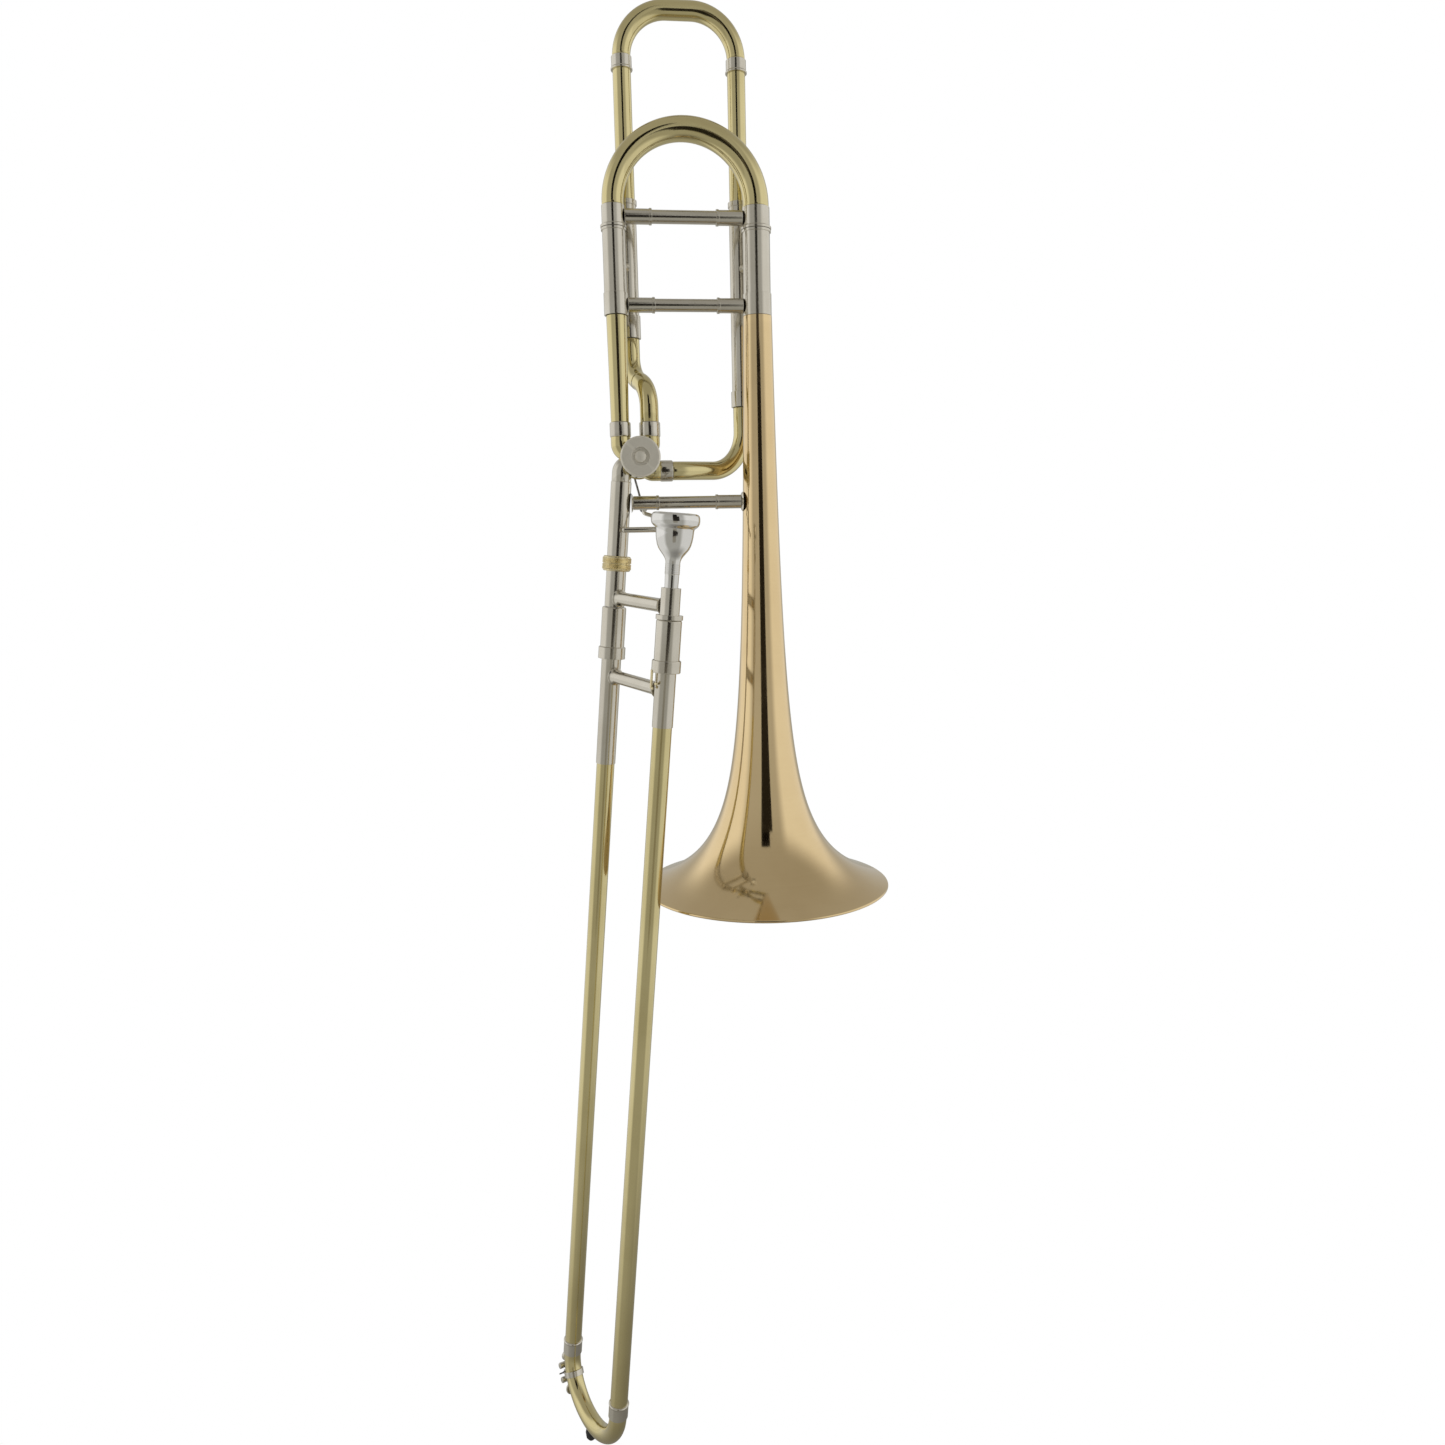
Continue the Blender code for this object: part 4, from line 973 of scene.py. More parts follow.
# ---------------------------------------------------------------- rotary valve
def make_valve():
    """The valve's casing with its four tube stubs, its cap, back plate and cork bumpers."""
    body = "bell_section"
    centre = joint_place("rotor_turn")
    axis = Vector((0, 1, 0))
    low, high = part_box("valve_casing")
    radius, bore, wall_depth = 0.0153, 0.0136, 0.0129
    lip, lip_width, lip_slope = 0.0006, 0.0022, 0.0026
    knuckle, knuckle_wall, knuckle_bend = 0.0082, 0.0012, 0.006
    place = Matrix.Translation(centre) @ Matrix.Rotation(radians(-90), 4, "X")
    front, back = low.y - centre.y, high.y - centre.y
    barrel = lathe_mesh("valve_barrel", [
        (radius + lip, front), (radius + lip, front + lip_width), (radius, front + lip_slope),
        (radius, back - lip_slope), (radius + lip, back - lip_width), (radius + lip, back), (bore, back),
        (bore, front)], place, FINE_SIDES)
    stubs = []
    for route in knuckle_routes(centre):
        away = (route[1] - route[0]).normalized()
        flat = route[0] - centre
        along = flat.dot(away)
        reach = -along + sqrt(max(0.0, along * along - flat.length_squared + wall_depth ** 2))
        stub = arc_route([route[0] + away * reach, *route[1:]], [knuckle_bend])
        stubs.append(tube_mesh("knuckle", stub, knuckle, knuckle_wall))
    settle(new_piece("neck_stub", stubs.pop(1)), body, "nickel_silver", [])
    casing = new_piece("valve_body", joined_mesh("valve_body", [barrel, *stubs]))
    casing.data.shade_smooth()
    settle(casing, body, "yellow_brass", ["valve_casing"])
    cap = turned_again("valve_cap", body, "nickel_silver", axis, FINE_SIDES)
    colour = tuple(setting("finish_colours").nickel_silver)
    cap.data.materials[0] = faced_metal("valve_cap_faced", scaled(colour, 1.2), colour, centre)
    turned_again("valve_back_plate", body, "yellow_brass", axis, FINE_SIDES)
    for node in ("stop_bumper_upper", "stop_bumper_lower"):
        turned_again(node, body, "cork", axis, 40)


def knuckle_routes(centre):
    """Centre lines of the four tube stubs, from inside the casing outwards."""
    neck = axis_frame("gooseneck_ferrule", UP).translation
    out = axis_frame("f_out_ferrule", UP).translation
    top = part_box("gooseneck_ferrule")[0].z
    back_low, back_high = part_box("f_return_ferrule")
    slide = slide_frame()
    neckpipe_top = span("neckpipe", slide)[1].z
    neck_turn, neckpipe_turn, out_turn, back_turn = 0.3815, 0.0108, 0.3835, -0.0935
    back_z = (back_low.z + back_high.z) / 2
    return [
        [centre + Vector((-0.004, 0, 0.002)), Vector((neck.x, 0, neck_turn)), Vector((neck.x, 0, top))],
        [centre + Vector((-0.004, 0, -0.002)), slide @ Vector((0, 0, neckpipe_top + neckpipe_turn)),
         slide @ Vector((0, 0, neckpipe_top))],
        [centre + Vector((0.002, 0, 0.003)), Vector((out.x, 0, out_turn)), Vector((out.x, 0, top))],
        [centre + Vector((0.003, 0, -0.003)), Vector((back_turn, 0, back_z)),
         Vector((back_low.x, 0, back_z))],
    ]


def make_rotor():
    """The rotor with its two passages and screwed end, and the stop arm on its spindle."""
    body = "rotor_body"
    centre = joint_place("rotor_turn")
    place = Matrix.Translation(centre) @ Matrix.Rotation(radians(-90), 4, "X")
    top = span("rotor", place)[1].z
    radius, spindle, shoulder = 0.0132, 0.0026, 0.0165
    screw, screw_height = 0.0016, 0.0008
    core = lathe_mesh("rotor_core", [
        (0, -shoulder), (radius, -shoulder), (radius, shoulder), (spindle, shoulder),
        (spindle, top - screw_height), (screw, top - screw_height), (screw, top), (0, top)], place, 96)
    reach, depth, slant, passage, passage_bend = 0.0165, 0.0042, 0.86, 0.0062, 0.009
    holes = [tube_mesh("passage", arc_route(
        [centre + Vector((side * reach, 0, reach * slant)), centre + Vector((side * depth, 0, 0)),
         centre + Vector((side * reach, 0, -reach * slant))], [passage_bend]), passage, sides=40)
        for side in (-1, 1)]
    slot = block_mesh("screw_slot", (-0.003, -0.0003, top - 0.0006), (0.003, 0.0003, top + 0.001),
                      0.00005, place)
    fused("rotor_core", [core], body, "yellow_brass", ["rotor"], holes + [slot], 0.00015, place)

    arm_low, arm_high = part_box("rotor_stop_arm")
    front, back = arm_low.y, arm_low.y + 0.0022
    hub_radius, boss_radius, bore = 0.0056, 0.0031, 0.0029
    pin = stop_pin(centre)
    outward = (pin - centre).normalized()
    hub = rod_between("arm_hub", (centre.x, front, centre.z), (centre.x, back, centre.z), hub_radius, 64)
    bars = []
    for direction, length, width in ((outward, (pin - centre).length, 0.0062), (-outward, 0.0105, 0.0054)):
        turn = Matrix((direction, axis_y(), direction.cross(axis_y()))).transposed().to_4x4()
        bars.append(block_mesh("arm_bar", (0, front - centre.y, -width / 2),
                               (length, back - centre.y, width / 2), 0.0003,
                               Matrix.Translation(centre) @ turn))
    boss = rod_between("arm_boss", (pin.x, front, pin.z), (pin.x, arm_high.y, pin.z), boss_radius)
    hole = rod_between("arm_hole", (centre.x, front - 0.002, centre.z), (centre.x, back + 0.003, centre.z),
                       bore)
    fused("stop_arm", [hub, *bars, boss], body, "raw_brass", ["rotor_stop_arm"], [hole])


def axis_y():
    return Vector((0, 1, 0))


def stop_pin(centre):
    """Where the link's upper eye joins the stop arm, in the plane of the rotor's axis."""
    return centre + Vector((-1, 0, -1)).normalized() * STOP_PIN_REACH


# ---------------------------------------------------------------- F attachment
def make_f_attachment():
    """The F attachment: S-bend, return bend, sleeves and ferrules, and its tuning slide."""
    body = "bell_section"
    sizes = setting("tube_sizes")
    left = axis_frame("f_sleeve_left", UP).translation
    right = axis_frame("f_sleeve_right", UP).translation
    turned_again("f_out_ferrule", body, "nickel_silver")
    turned_again("f_return_ferrule", body, "nickel_silver", Vector((1, 0, 0)))
    out_low, out_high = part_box("f_out_ferrule")
    out_x = (out_low.x + out_high.x) / 2
    left_low, right_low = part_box("f_sleeve_left")[0].z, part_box("f_sleeve_right")[0].z
    gap = SLIDE_GAP
    s_low, s_high, s_radius = 0.4323, 0.4427, 0.024
    s_bend = arc_route([(out_x, 0, out_high.z + gap), (out_x, 0, s_low), (left.x, left.y, s_high),
                        (left.x, left.y, left_low - gap)], [s_radius, s_radius])
    bent_tube("f_s_bend_bent", s_bend, sizes.f_tube + 0.0002, body, "yellow_brass", ["f_s_bend"])
    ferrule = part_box("f_return_ferrule")[1]
    back_z = middle("f_return_ferrule").z
    turn_x, rise, back_bends = -0.0655, 0.0018, [0.03, 0.034]
    back = arc_route([(ferrule.x + gap, 0, back_z), (turn_x, 0, back_z),
                      (right.x, right.y, back_z + rise), (right.x, right.y, right_low - gap)], back_bends)
    bent_tube("f_return_bent", back, sizes.f_tube + 0.0002, body, "yellow_brass", ["f_return_tube"])
    for node in ("f_sleeve_left", "f_sleeve_right"):
        turned_again(node, body, "nickel_silver")

    body = "f_tuning_slide"
    crook_low, crook_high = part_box("f_crook")
    for side, place in (("left", left), ("right", right)):
        node = "f_leg_" + side
        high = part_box(node)[1]
        spot = Matrix.Translation((place.x, place.y, 0))
        outline = cad_outline(node, spot)
        bead = max(r for r, z in outline)
        foot = min(z for r, z in outline if r > bead - 0.0001)
        bore = min(r for r, z in outline)
        leg = [(r, z) for r, z in outline if z < foot - 0.0002]
        turned("f_leg_%s_tube" % side, split_leg(leg, bore, foot), body, "yellow_brass", [node], spot)
        turned("f_ferrule_%s" % side, [
            (bead - 0.0006, high.z), (bead - 0.0006, foot + 0.0019), (bead, foot + 0.0012), (bead, foot),
            (sizes.f_tube - 0.0001, foot), (sizes.f_tube - 0.0001, high.z)], body, "nickel_silver", [], spot)
    bend = sizes.f_bend
    top = crook_high.z - sizes.f_tube - 0.0025
    start, end = Vector((left.x, left.y, crook_low.z)), Vector((right.x, right.y, crook_low.z))
    crook = arc_route([start, (left.x, left.y, top), (right.x, right.y, top), end], [bend, bend])
    bent_tube("f_crook_bent", crook, sizes.f_tube, body, "yellow_brass", ["f_crook"])


def split_leg(leg, bore, top):
    """The leg below its ferrule, as a closed outline that runs up inside the ferrule."""
    outer = sorted({(r, z) for r, z in leg if r > bore}, key=lambda p: (-p[1], -p[0]))
    widest = max(r for r, _ in outer)
    bottom = min(z for _, z in outer)
    return [(widest, top + 0.004), *outer, (bore, bottom), (bore, top + 0.004)]


# ---------------------------------------------------------------- thumb lever and link
def make_thumb_lever():
    """The lever on its saddle, with its pin, its spring and the link to the stop arm."""
    axis = joint_place("thumb_lever_press")
    low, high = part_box("lever_saddle")
    ear, strap_inset, strap_wall, clear = 0.0015, 0.003, 0.0016, 0.002
    brace_low, brace_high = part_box("lower_brace")
    brace_radius = (brace_high.z - brace_low.z) / 2 - 0.0005
    brace_z = (brace_high.z + brace_low.z) / 2
    plate = block_mesh("saddle_plate", (low.x, low.y, high.z - 0.0014), high, 0.0003)
    strap = rod_between("saddle_strap", (low.x + strap_inset, 0, brace_z),
                        (high.x - strap_inset, 0, brace_z), brace_radius + strap_wall, 96, 0.0004)
    strap_cut = rod_between("strap_cut", (low.x, 0, brace_z), (high.x, 0, brace_z), brace_radius, 96)
    strap_top = block_mesh("strap_top", (low.x, -0.01, brace_z + 0.0008), (high.x, 0.01, brace_z + 0.01))
    ears = [block_mesh("saddle_ear", (x, low.y, low.z), (x + ear, high.y, high.z - 0.0006), 0.0003)
            for x in (low.x, high.x - ear)]
    knuckles = [rod_between("saddle_knuckle", (x, axis.y, axis.z), (x + ear, axis.y, axis.z), 0.0034)
                for x in (low.x, high.x - ear)]
    bore = rod_between("saddle_bore", (low.x - clear, axis.y, axis.z), (high.x + clear, axis.y, axis.z),
                       HINGE_BORE)
    fused("lever_saddle_fused", [plate, *ears, *knuckles, strap], "bell_section", "raw_brass",
          ["lever_saddle"], [bore, strap_cut, strap_top], 0.00015)
    turned_again("lever_pin", "bell_section", "dark_steel", Vector((1, 0, 0)), 32)

    ball = joint_place("link_tilt")
    left, right = -0.0855, -0.0702                # ends of the lever's barrel
    barrel = rod_between("lever_barrel", (left, axis.y, axis.z), (right, axis.y, axis.z), 0.0030)
    arm = [axis + Vector(p) for p in ((-0.008, 0, 0), (-0.008, 0.008, -0.0014))]
    reach = ball - axis
    arm += [axis + Vector((reach.x, 0.016, 0.0040)), Vector((ball.x, ball.y - 0.0037, ball.z))]
    link_arm = tube_mesh("link_arm", arc_route(arm, [0.003, 0.004]), 0.0017, sides=32)
    grip = [axis + Vector(p) for p in ((-0.004, 0, 0), (-0.004, -0.010, -0.0065),
                                       (-0.013, -0.0205, -0.0110))]
    paddle_arm = tube_mesh("paddle_arm", arc_route(grip, [0.004]), 0.0022, sides=32)
    paddle = block_mesh("paddle", axis + Vector((-0.0445, -0.032, -0.0130)),
                        axis + Vector((-0.0110, -0.0155, -0.0088)), 0.0019)
    bore = rod_between("lever_bore", (left - clear, axis.y, axis.z), (right + clear, axis.y, axis.z),
                       HINGE_BORE)
    fused("lever_fused", [barrel, link_arm, paddle_arm, paddle], "lever_body", "nickel_silver",
          ["thumb_lever"], [bore], 0.0003)

    spring_low, spring_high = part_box("lever_spring")
    coil = grown("lever_coil", spring_tree(), {
        "Turns": 4.0, "Coil Radius": 0.0026, "Height": spring_high.x - spring_low.x - 0.0008,
        "Wire": setting("detail_sizes").spring_wire}, finish("dark_steel"),
        aim((spring_low.x + 0.0004, axis.y, axis.z), (1, axis.y, axis.z)))
    settle(new_piece("lever_coil", coil), "lever_body", "dark_steel", ["lever_spring"])

    eye = stop_pin(joint_place("rotor_turn"))
    eye.y = ball.y
    half = Vector((0, 0.0014, 0))
    along = (eye - ball).normalized()
    parts = [rod_between("link_bar", ball, eye, 0.0009, 32), ball_mesh("link_ball", ball, 0.0033)]
    for name, start, end, radius, sides in (("link_cup", 0.0026, 0.0072, 0.0021, 32),
                                            ("link_nut", 0.0074, 0.0092, 0.0020, 6)):
        parts.append(rod_between(name, ball + along * start, ball + along * end, radius, sides))
    parts.append(rod_between("link_eye", eye - half, eye + half, 0.0031))
    fused("link_fused", parts, "link_body", "dark_steel", ["link_rod"], [], 0.00015, aim(ball, eye))


# ---------------------------------------------------------------- hand slide
def slide_frame():
    """The hand slide's frame: Z up the neckpipe tube, X towards the mouthpiece tube."""
    up = joint_axis("hand_slide_swivel")
    neck = axis_frame("outer_tube_neck", up).translation
    mouth = axis_frame("outer_tube_mouth", up).translation
    across = (mouth - neck).normalized()
    side = up.cross(across)
    return Matrix.Translation(neck) @ Matrix((across, side, up)).transposed().to_4x4()


def slide_spacing():
    frame_z = slide_frame()
    mouth = axis_frame("outer_tube_mouth", joint_axis("hand_slide_swivel")).translation
    return (frame_z.inverted() @ mouth).x


def slide_turned(node, body, slot, sides=SIDES):
    slide = slide_frame()
    return turned_again(node, body, slot, slide.col[2].xyz, sides, slide.col[0].xyz)


def make_neckpipe():
    """The neckpipe, and the nut below it with two bands of knurling."""
    slide_turned("neckpipe", "bell_section", "nickel_silver")
    place = slide_frame()
    low, high = span("receiver_nut", place)
    outer, bore, shoulder = high.x, 0.0090, 0.0015
    inner = outer - setting("detail_sizes").knurl_depth
    groove, cut = 0.0004, 0.0003
    middle_z, half = (low.z + high.z) / 2, (high.z - low.z) / 2
    upper_half = [(inner - 0.0009, half), (inner - 0.0001, half - shoulder * 0.6), (inner, half - shoulder),
                  (inner, groove), (inner - cut, groove * 0.4)]
    outline = upper_half + [(r, -z) for r, z in reversed(upper_half)] + [(bore, -half), (bore, half)]
    nut = lathe_mesh("nut_body", [(r, middle_z + z) for r, z in outline], place, FINE_SIDES)
    upper = knurl_band(inner, middle_z + groove, high.z - shoulder, place)
    lower = knurl_band(inner, low.z + shoulder, middle_z - groove, place)
    mesh = joined_mesh("nut_knurled", [nut, upper, lower])
    settle(new_piece("nut_knurled", mesh), "receiver_nut_body", "raw_brass", ["receiver_nut"], place)


def knurl_band(radius, low, high, place):
    """The knurling studs between two heights."""
    sizes = setting("detail_sizes")
    rows = max(2, int((high - low) / sizes.knurl_pitch))
    pitch = (high - low) / rows
    studs = grown("studs", knurl_tree(), {
        "Radius": radius, "Low": low, "Pitch": pitch, "Depth": sizes.knurl_depth * 2,
        "Around": int(2 * pi * radius / pitch), "Rows": rows}, finish("raw_brass", place), place)
    for polygon in studs.polygons:
        polygon.use_smooth = False
    return studs


def make_inner_slide():
    """The inner slide: drawn tubes, receiver, cork barrels, brace and lock."""
    body = "inner_slide"
    tube, rim, recess = 0.0069, 0.0005, 0.00685
    place = slide_frame()
    mouth = place @ Matrix.Translation((slide_spacing(), 0, 0))
    barrel_top = span("cork_barrel_neck", place)[1].z
    for node, spot in (("inner_tube_neck", place), ("inner_tube_mouth", mouth)):
        low, high = span(node, spot)
        outline = cad_outline(node, spot)
        bore = min(r for r, _ in outline)
        turned(node + "_drawn", [(tube, high.z - rim), (tube, low.z), (bore, low.z), (bore, high.z - rim)],
               body, "chromed_tube", [node], spot)
    top, bottom = span("inner_tube_neck", place)[1].z, barrel_top + SLIDE_GAP
    sleeve = setting("tube_sizes").slide_sleeve
    turned("slide_receiver", [(sleeve, top), (sleeve, bottom), (recess, bottom), (recess, top)],
           body, "nickel_silver", [], place)
    for node in ("cork_barrel_neck", "cork_barrel_mouth"):
        slide_turned(node, body, "nickel_silver")
    slide_turned("mouthpiece_receiver", body, "nickel_silver")
    make_slide_brace("inner_brace", body)
    make_slide_lock()


def make_slide_brace(node, body):
    """A brace tube with flared ends that hug the slide tubes."""
    place = slide_frame()
    low, high = span(node, place)
    height = (low.z + high.z) / 2
    radius, bore = 0.0055, 0.0045
    start, end = place @ Vector((low.x, 0, height)), place @ Vector((high.x, 0, height))
    length = (end - start).length
    flare = [(0.0076, 0.0), (0.0075, 0.0005), (0.0064, 0.0014), (0.0058, 0.0026), (radius, 0.0050)]
    outline = ([(r, length - z) for r, z in flare] + [(r, z) for r, z in reversed(flare)]
               + [(bore, 0), (bore, length)])
    turned(node + "_turned", outline, body, "nickel_silver", [node], aim(start, end))


def make_slide_lock():
    """The lock ring under the cork barrel, with the tab that hooks round the pin."""
    place = slide_frame() @ Matrix.Translation((slide_spacing(), 0, 0))
    bottom = span("cork_barrel_mouth", place)[0].z
    node_low, node_high = span("slide_lock", place)
    top = node_high.z
    outer, bore, chamfer, slope = 0.01165, 0.01075, 0.0003, 0.0006
    ring = lathe_mesh("lock_ring", [
        (outer - chamfer, top), (outer, top - slope), (outer, bottom + slope), (outer - chamfer, bottom),
        (bore, bottom), (bore, top)], place, 96)
    settle(new_piece("lock_ring", ring), "slide_lock_body", "nickel_silver", ["slide_lock"], place)
    turn = place @ Matrix.Rotation(radians(-105), 4, "Z")
    tab = block_mesh("lock_tab", (0.0107, -0.0016, node_low.z + 0.001), (0.0122, 0.0016, bottom + 0.002),
                     0.00035, turn)
    hook = block_mesh("lock_hook", (0.0107, -0.0016, node_low.z), (0.0118, 0.0042, node_low.z + 0.002),
                      0.00035, turn)
    fused("lock_tab_fused", [tab, hook], "slide_lock_body", "raw_brass", [], [], 0.00012, place)


def make_outer_slide():
    """The outer slide: drawn tubes with sleeves and ferrules, brace, bow, bumper and lock pin."""
    body = "outer_slide"
    sizes = setting("tube_sizes")
    place = slide_frame()
    spacing = slide_spacing()
    tube, sleeve, bore = sizes.slide_tube, sizes.slide_sleeve, 0.0073
    for side, x in (("neck", 0.0), ("mouth", spacing)):
        node = "outer_tube_" + side
        spot = place @ Matrix.Translation((x, 0, 0))
        low, high = span(node, spot)
        outline = cad_outline(node, spot)
        sleeve_end = min(z for r, z in outline if abs(r - sleeve) < 0.0001)
        ferrule_top = max(z for r, z in outline if r > sleeve + 0.0002)
        ferrule = max(r for r, _ in outline)
        turned(node + "_drawn", [(tube, high.z - 0.0006), (tube, low.z), (bore, low.z),
                                 (bore, high.z - 0.0006)], body, "yellow_brass", [node], spot)
        turned("slide_sleeve_" + side, [
            (sleeve, high.z), (sleeve + 0.0001, high.z - 0.004), (sleeve, high.z - 0.0043),
            (sleeve, sleeve_end), (tube - 0.0001, sleeve_end), (tube - 0.0001, high.z)],
            body, "nickel_silver", [], spot)
        bead = [(tube + 0.0001, 0.0006), (ferrule, 0.0002), (ferrule + 0.0004, -0.0006),
                (ferrule + 0.0003, -0.0014), (ferrule, -0.0018)]
        turned("bow_ferrule_" + side, [(r, ferrule_top + z) for r, z in bead] + [
            (ferrule, low.z - 0.0010), (tube - 0.0001, low.z - 0.0010),
            (tube - 0.0001, ferrule_top + 0.0006)], body, "nickel_silver", [], spot)
    make_slide_brace("outer_brace", body)
    low, high = span("slide_bow", place)
    level = high.z - BOW_LEAD
    arc = half_turn(Vector((0, 0, level)), Vector((spacing, 0, level)), Vector((0, 0, -1)),
                    level - low.z - tube)
    route = [Vector((0, 0, high.z)), *arc, Vector((spacing, 0, high.z))]
    bent_tube("slide_bow_bent", [place @ p for p in route], tube, body, "yellow_brass", ["slide_bow"])
    bumper = slide_turned("bow_bumper", body, "rubber", 48)
    bumper.name = "bow_bumper_moulded"
    tube_axis = place @ Matrix.Translation((spacing, 0, 0))
    spot = tube_axis.inverted() @ middle("lock_pin")
    outward = tube_axis.to_3x3() @ Vector((spot.x, spot.y, 0))
    turned_again("lock_pin", body, "raw_brass", outward, 40)


def make_water_key():
    """The water key on its saddle round the bow, with its pin and spring."""
    body = "outer_slide"
    slide = slide_frame()
    pivot = joint_place("water_key_press")
    local = slide.inverted() @ pivot
    high = span("slide_bow", slide)[1]
    side = slide.to_3x3() @ Vector((0, 1, 0))
    out = bow_normal(slide, local, high.z - BOW_LEAD)
    along = out.cross(side).normalized()
    tube = setting("tube_sizes").slide_tube
    pivot_x = tube + KEY_LIFT
    base = pivot - out * pivot_x
    station = Matrix.Translation(base) @ Matrix((out, side, along)).transposed().to_4x4()

    def at(x, y, z):
        return station @ Vector((pivot_x + x, y, z))

    ring_out, ring_in, half = tube + 0.0013, tube + 0.0002, 0.0025
    ring = lathe_mesh("key_band", [(ring_out, half), (ring_out, -half), (ring_in, -half), (ring_in, half)],
                      station, 96)
    ear_y, ear_half, ear_z, ear_top = 0.0034, 0.0006, 0.0022, 0.0018
    ears = [block_mesh("key_ear", (tube + 0.0006, s * ear_y - ear_half, -ear_z),
                       (pivot_x + ear_top, s * ear_y + ear_half, ear_z), 0.0004, station)
            for s in (-1, 1)]
    hole = rod_between("key_pin_hole", at(0, -0.006, 0), at(0, 0.006, 0), 0.0009, 32)
    fused("key_saddle_fused", [ring, *ears], body, "nickel_silver", ["water_key_saddle"], [hole], 0.00015,
          station)
    wire, collar = 0.0007, 0.0011
    pin = [(0, -0.0052), (0.0006, -0.0050), (wire, -0.0010), (collar, -0.0008), (collar, 0.0002),
           (wire, 0.0004), (wire, 0.0088), (0, 0.0090)]
    turned("key_pin_turned", pin, body, "dark_steel", ["water_key_pin"],
           aim(at(0, -0.0045, 0), station @ Vector((pivot_x, 1, 0))), 32, 0.0001)

    shift = station @ Matrix.Translation((pivot_x, 0, 0))
    barrel = rod_between("key_barrel", at(0, -0.0024, 0), at(0, 0.0024, 0), 0.0022)
    arm = block_mesh("key_arm", (-0.0008, -0.0018, -0.0130), (0.0012, 0.0018, 0.0150), 0.0005, shift)
    pad = rod_between("key_pad", at(-0.0002, 0, 0.0160), at(0.0022, 0, 0.0160), 0.0048, 56, 0.0006)
    cup = rod_between("key_cup", at(-0.0030, 0, -0.0130), at(0.0014, 0, -0.0130), 0.0040, 56, 0.0004)
    lumps = [rod_between("key_lump", at(0.0012, -0.0078, z), at(0.0012, 0.0015, z), 0.0027, 48,
                         0.0007) for z in (-0.0062, 0.0062)]
    bore = rod_between("key_bore", at(0, -0.006, 0), at(0, 0.006, 0), 0.0010, 32)
    fused("water_key_fused", [barrel, arm, pad, cup, *lumps], "water_key_body", "nickel_silver", ["water_key"],
          [bore], 0.0002, station)
    coil = grown("key_coil", spring_tree(), {
        "Turns": 3.0, "Coil Radius": 0.0027, "Height": 0.0036,
        "Wire": setting("detail_sizes").spring_wire}, finish("dark_steel"),
        aim(at(0, -0.0018, 0), at(0, 1, 0)))
    settle(new_piece("key_coil", coil), "water_key_body", "dark_steel", [])


def bow_normal(slide, local, base):
    """Outward direction of the bow's curve at the point nearest to a place in the slide's frame."""
    sizes = setting("tube_sizes")
    half = slide_spacing() / 2
    best = None
    for step in range(5, 86):
        angle = radians(step)
        spot = Vector((half - half * cos(angle), 0, base - half * sizes.bow_flatness * sin(angle)))
        normal = Vector((-cos(angle) * sizes.bow_flatness, 0, -sin(angle))).normalized()
        miss = (spot + normal * (sizes.slide_tube + KEY_LIFT) - local).length
        if best is None or miss < best[0]:
            best = (miss, normal)
    return (slide.to_3x3() @ best[1]).normalized()


# ---------------------------------------------------------------- mouthpiece
def make_mouthpiece():
    """The mouthpiece: rim, cup, ringed stem and shank outside, and cup, throat and backbore inside."""
    place = slide_frame() @ Matrix.Translation((slide_spacing(), 0, 0))
    low, high = span("mouthpiece", place)
    rim, bottom = high.z, low.z
    stem, ring_top, pitch = 0.0057, rim - 0.0390, 0.0014
    rings = [(stem + lift, ring_top - pitch * i - down) for i in range(BUMP_RINGS)
             for lift, down in ((0, 0), (0.0003, 0.0003), (0.0003, 0.0007), (0, 0.0010))]
    outside = [(0.0136, rim - 0.0009), (0.0147, rim - 0.0002), (0.0161, rim), (0.0175, rim - 0.0004),
               (0.0186, rim - 0.0016), (0.0191, rim - 0.0032), (0.0192, rim - 0.0055),
               (0.0190, rim - 0.0074), (0.0184, rim - 0.0090), (0.0172, rim - 0.0104),
               (0.0160, rim - 0.0112), (0.0153, rim - 0.0120), (0.0150, rim - 0.0134),
               (0.0149, rim - 0.0155), (0.0147, rim - 0.0180), (0.0142, rim - 0.0212),
               (0.0134, rim - 0.0245), (0.0121, rim - 0.0276), (0.0100, rim - 0.0305),
               (0.0080, rim - 0.0330), (0.0067, rim - 0.0350), (0.0060, rim - 0.0368),
               (0.0058, rim - 0.0384), *rings, (0.0056, rim - 0.0480), (0.0054, bottom + 0.0190),
               (0.0050, bottom)]
    inside = [(0.0041, bottom), (0.0038, bottom + 0.022), (0.0035, rim - 0.0380), (0.0034, rim - 0.0330),
              (0.0042, rim - 0.0300), (0.0060, rim - 0.0262), (0.0082, rim - 0.0222),
              (0.0100, rim - 0.0180), (0.0113, rim - 0.0135), (0.0121, rim - 0.0090),
              (0.0125, rim - 0.0050), (0.0128, rim - 0.0022)]
    turned("mouthpiece_turned", outside + inside, "mouthpiece_body", "silver_plate", ["mouthpiece"], place,
           FINE_SIDES, 0.0001)


# ---------------------------------------------------------------- studio
def soft_box(name, place, size, strength, target):
    light = bpy.data.lights.new(name, "AREA")
    light.shape = "RECTANGLE"
    light.size, light.size_y = size
    light.energy = strength * size[0] * size[1] * pi
    item = bpy.data.objects.new(name, light)
    bpy.context.scene.collection.objects.link(item)
    item.location = place
    item.rotation_euler = (Vector(target) - Vector(place)).to_track_quat("-Z", "Y").to_euler()
    item.visible_camera = False
    item.visible_glossy = False


def stage_plane(name, corners, material):
    mesh = bpy.data.meshes.new(name)
    mesh.from_pydata(corners, [], [(0, 1, 2, 3)])
    mesh.materials.append(material)
    item = new_piece(name, mesh)
    return item


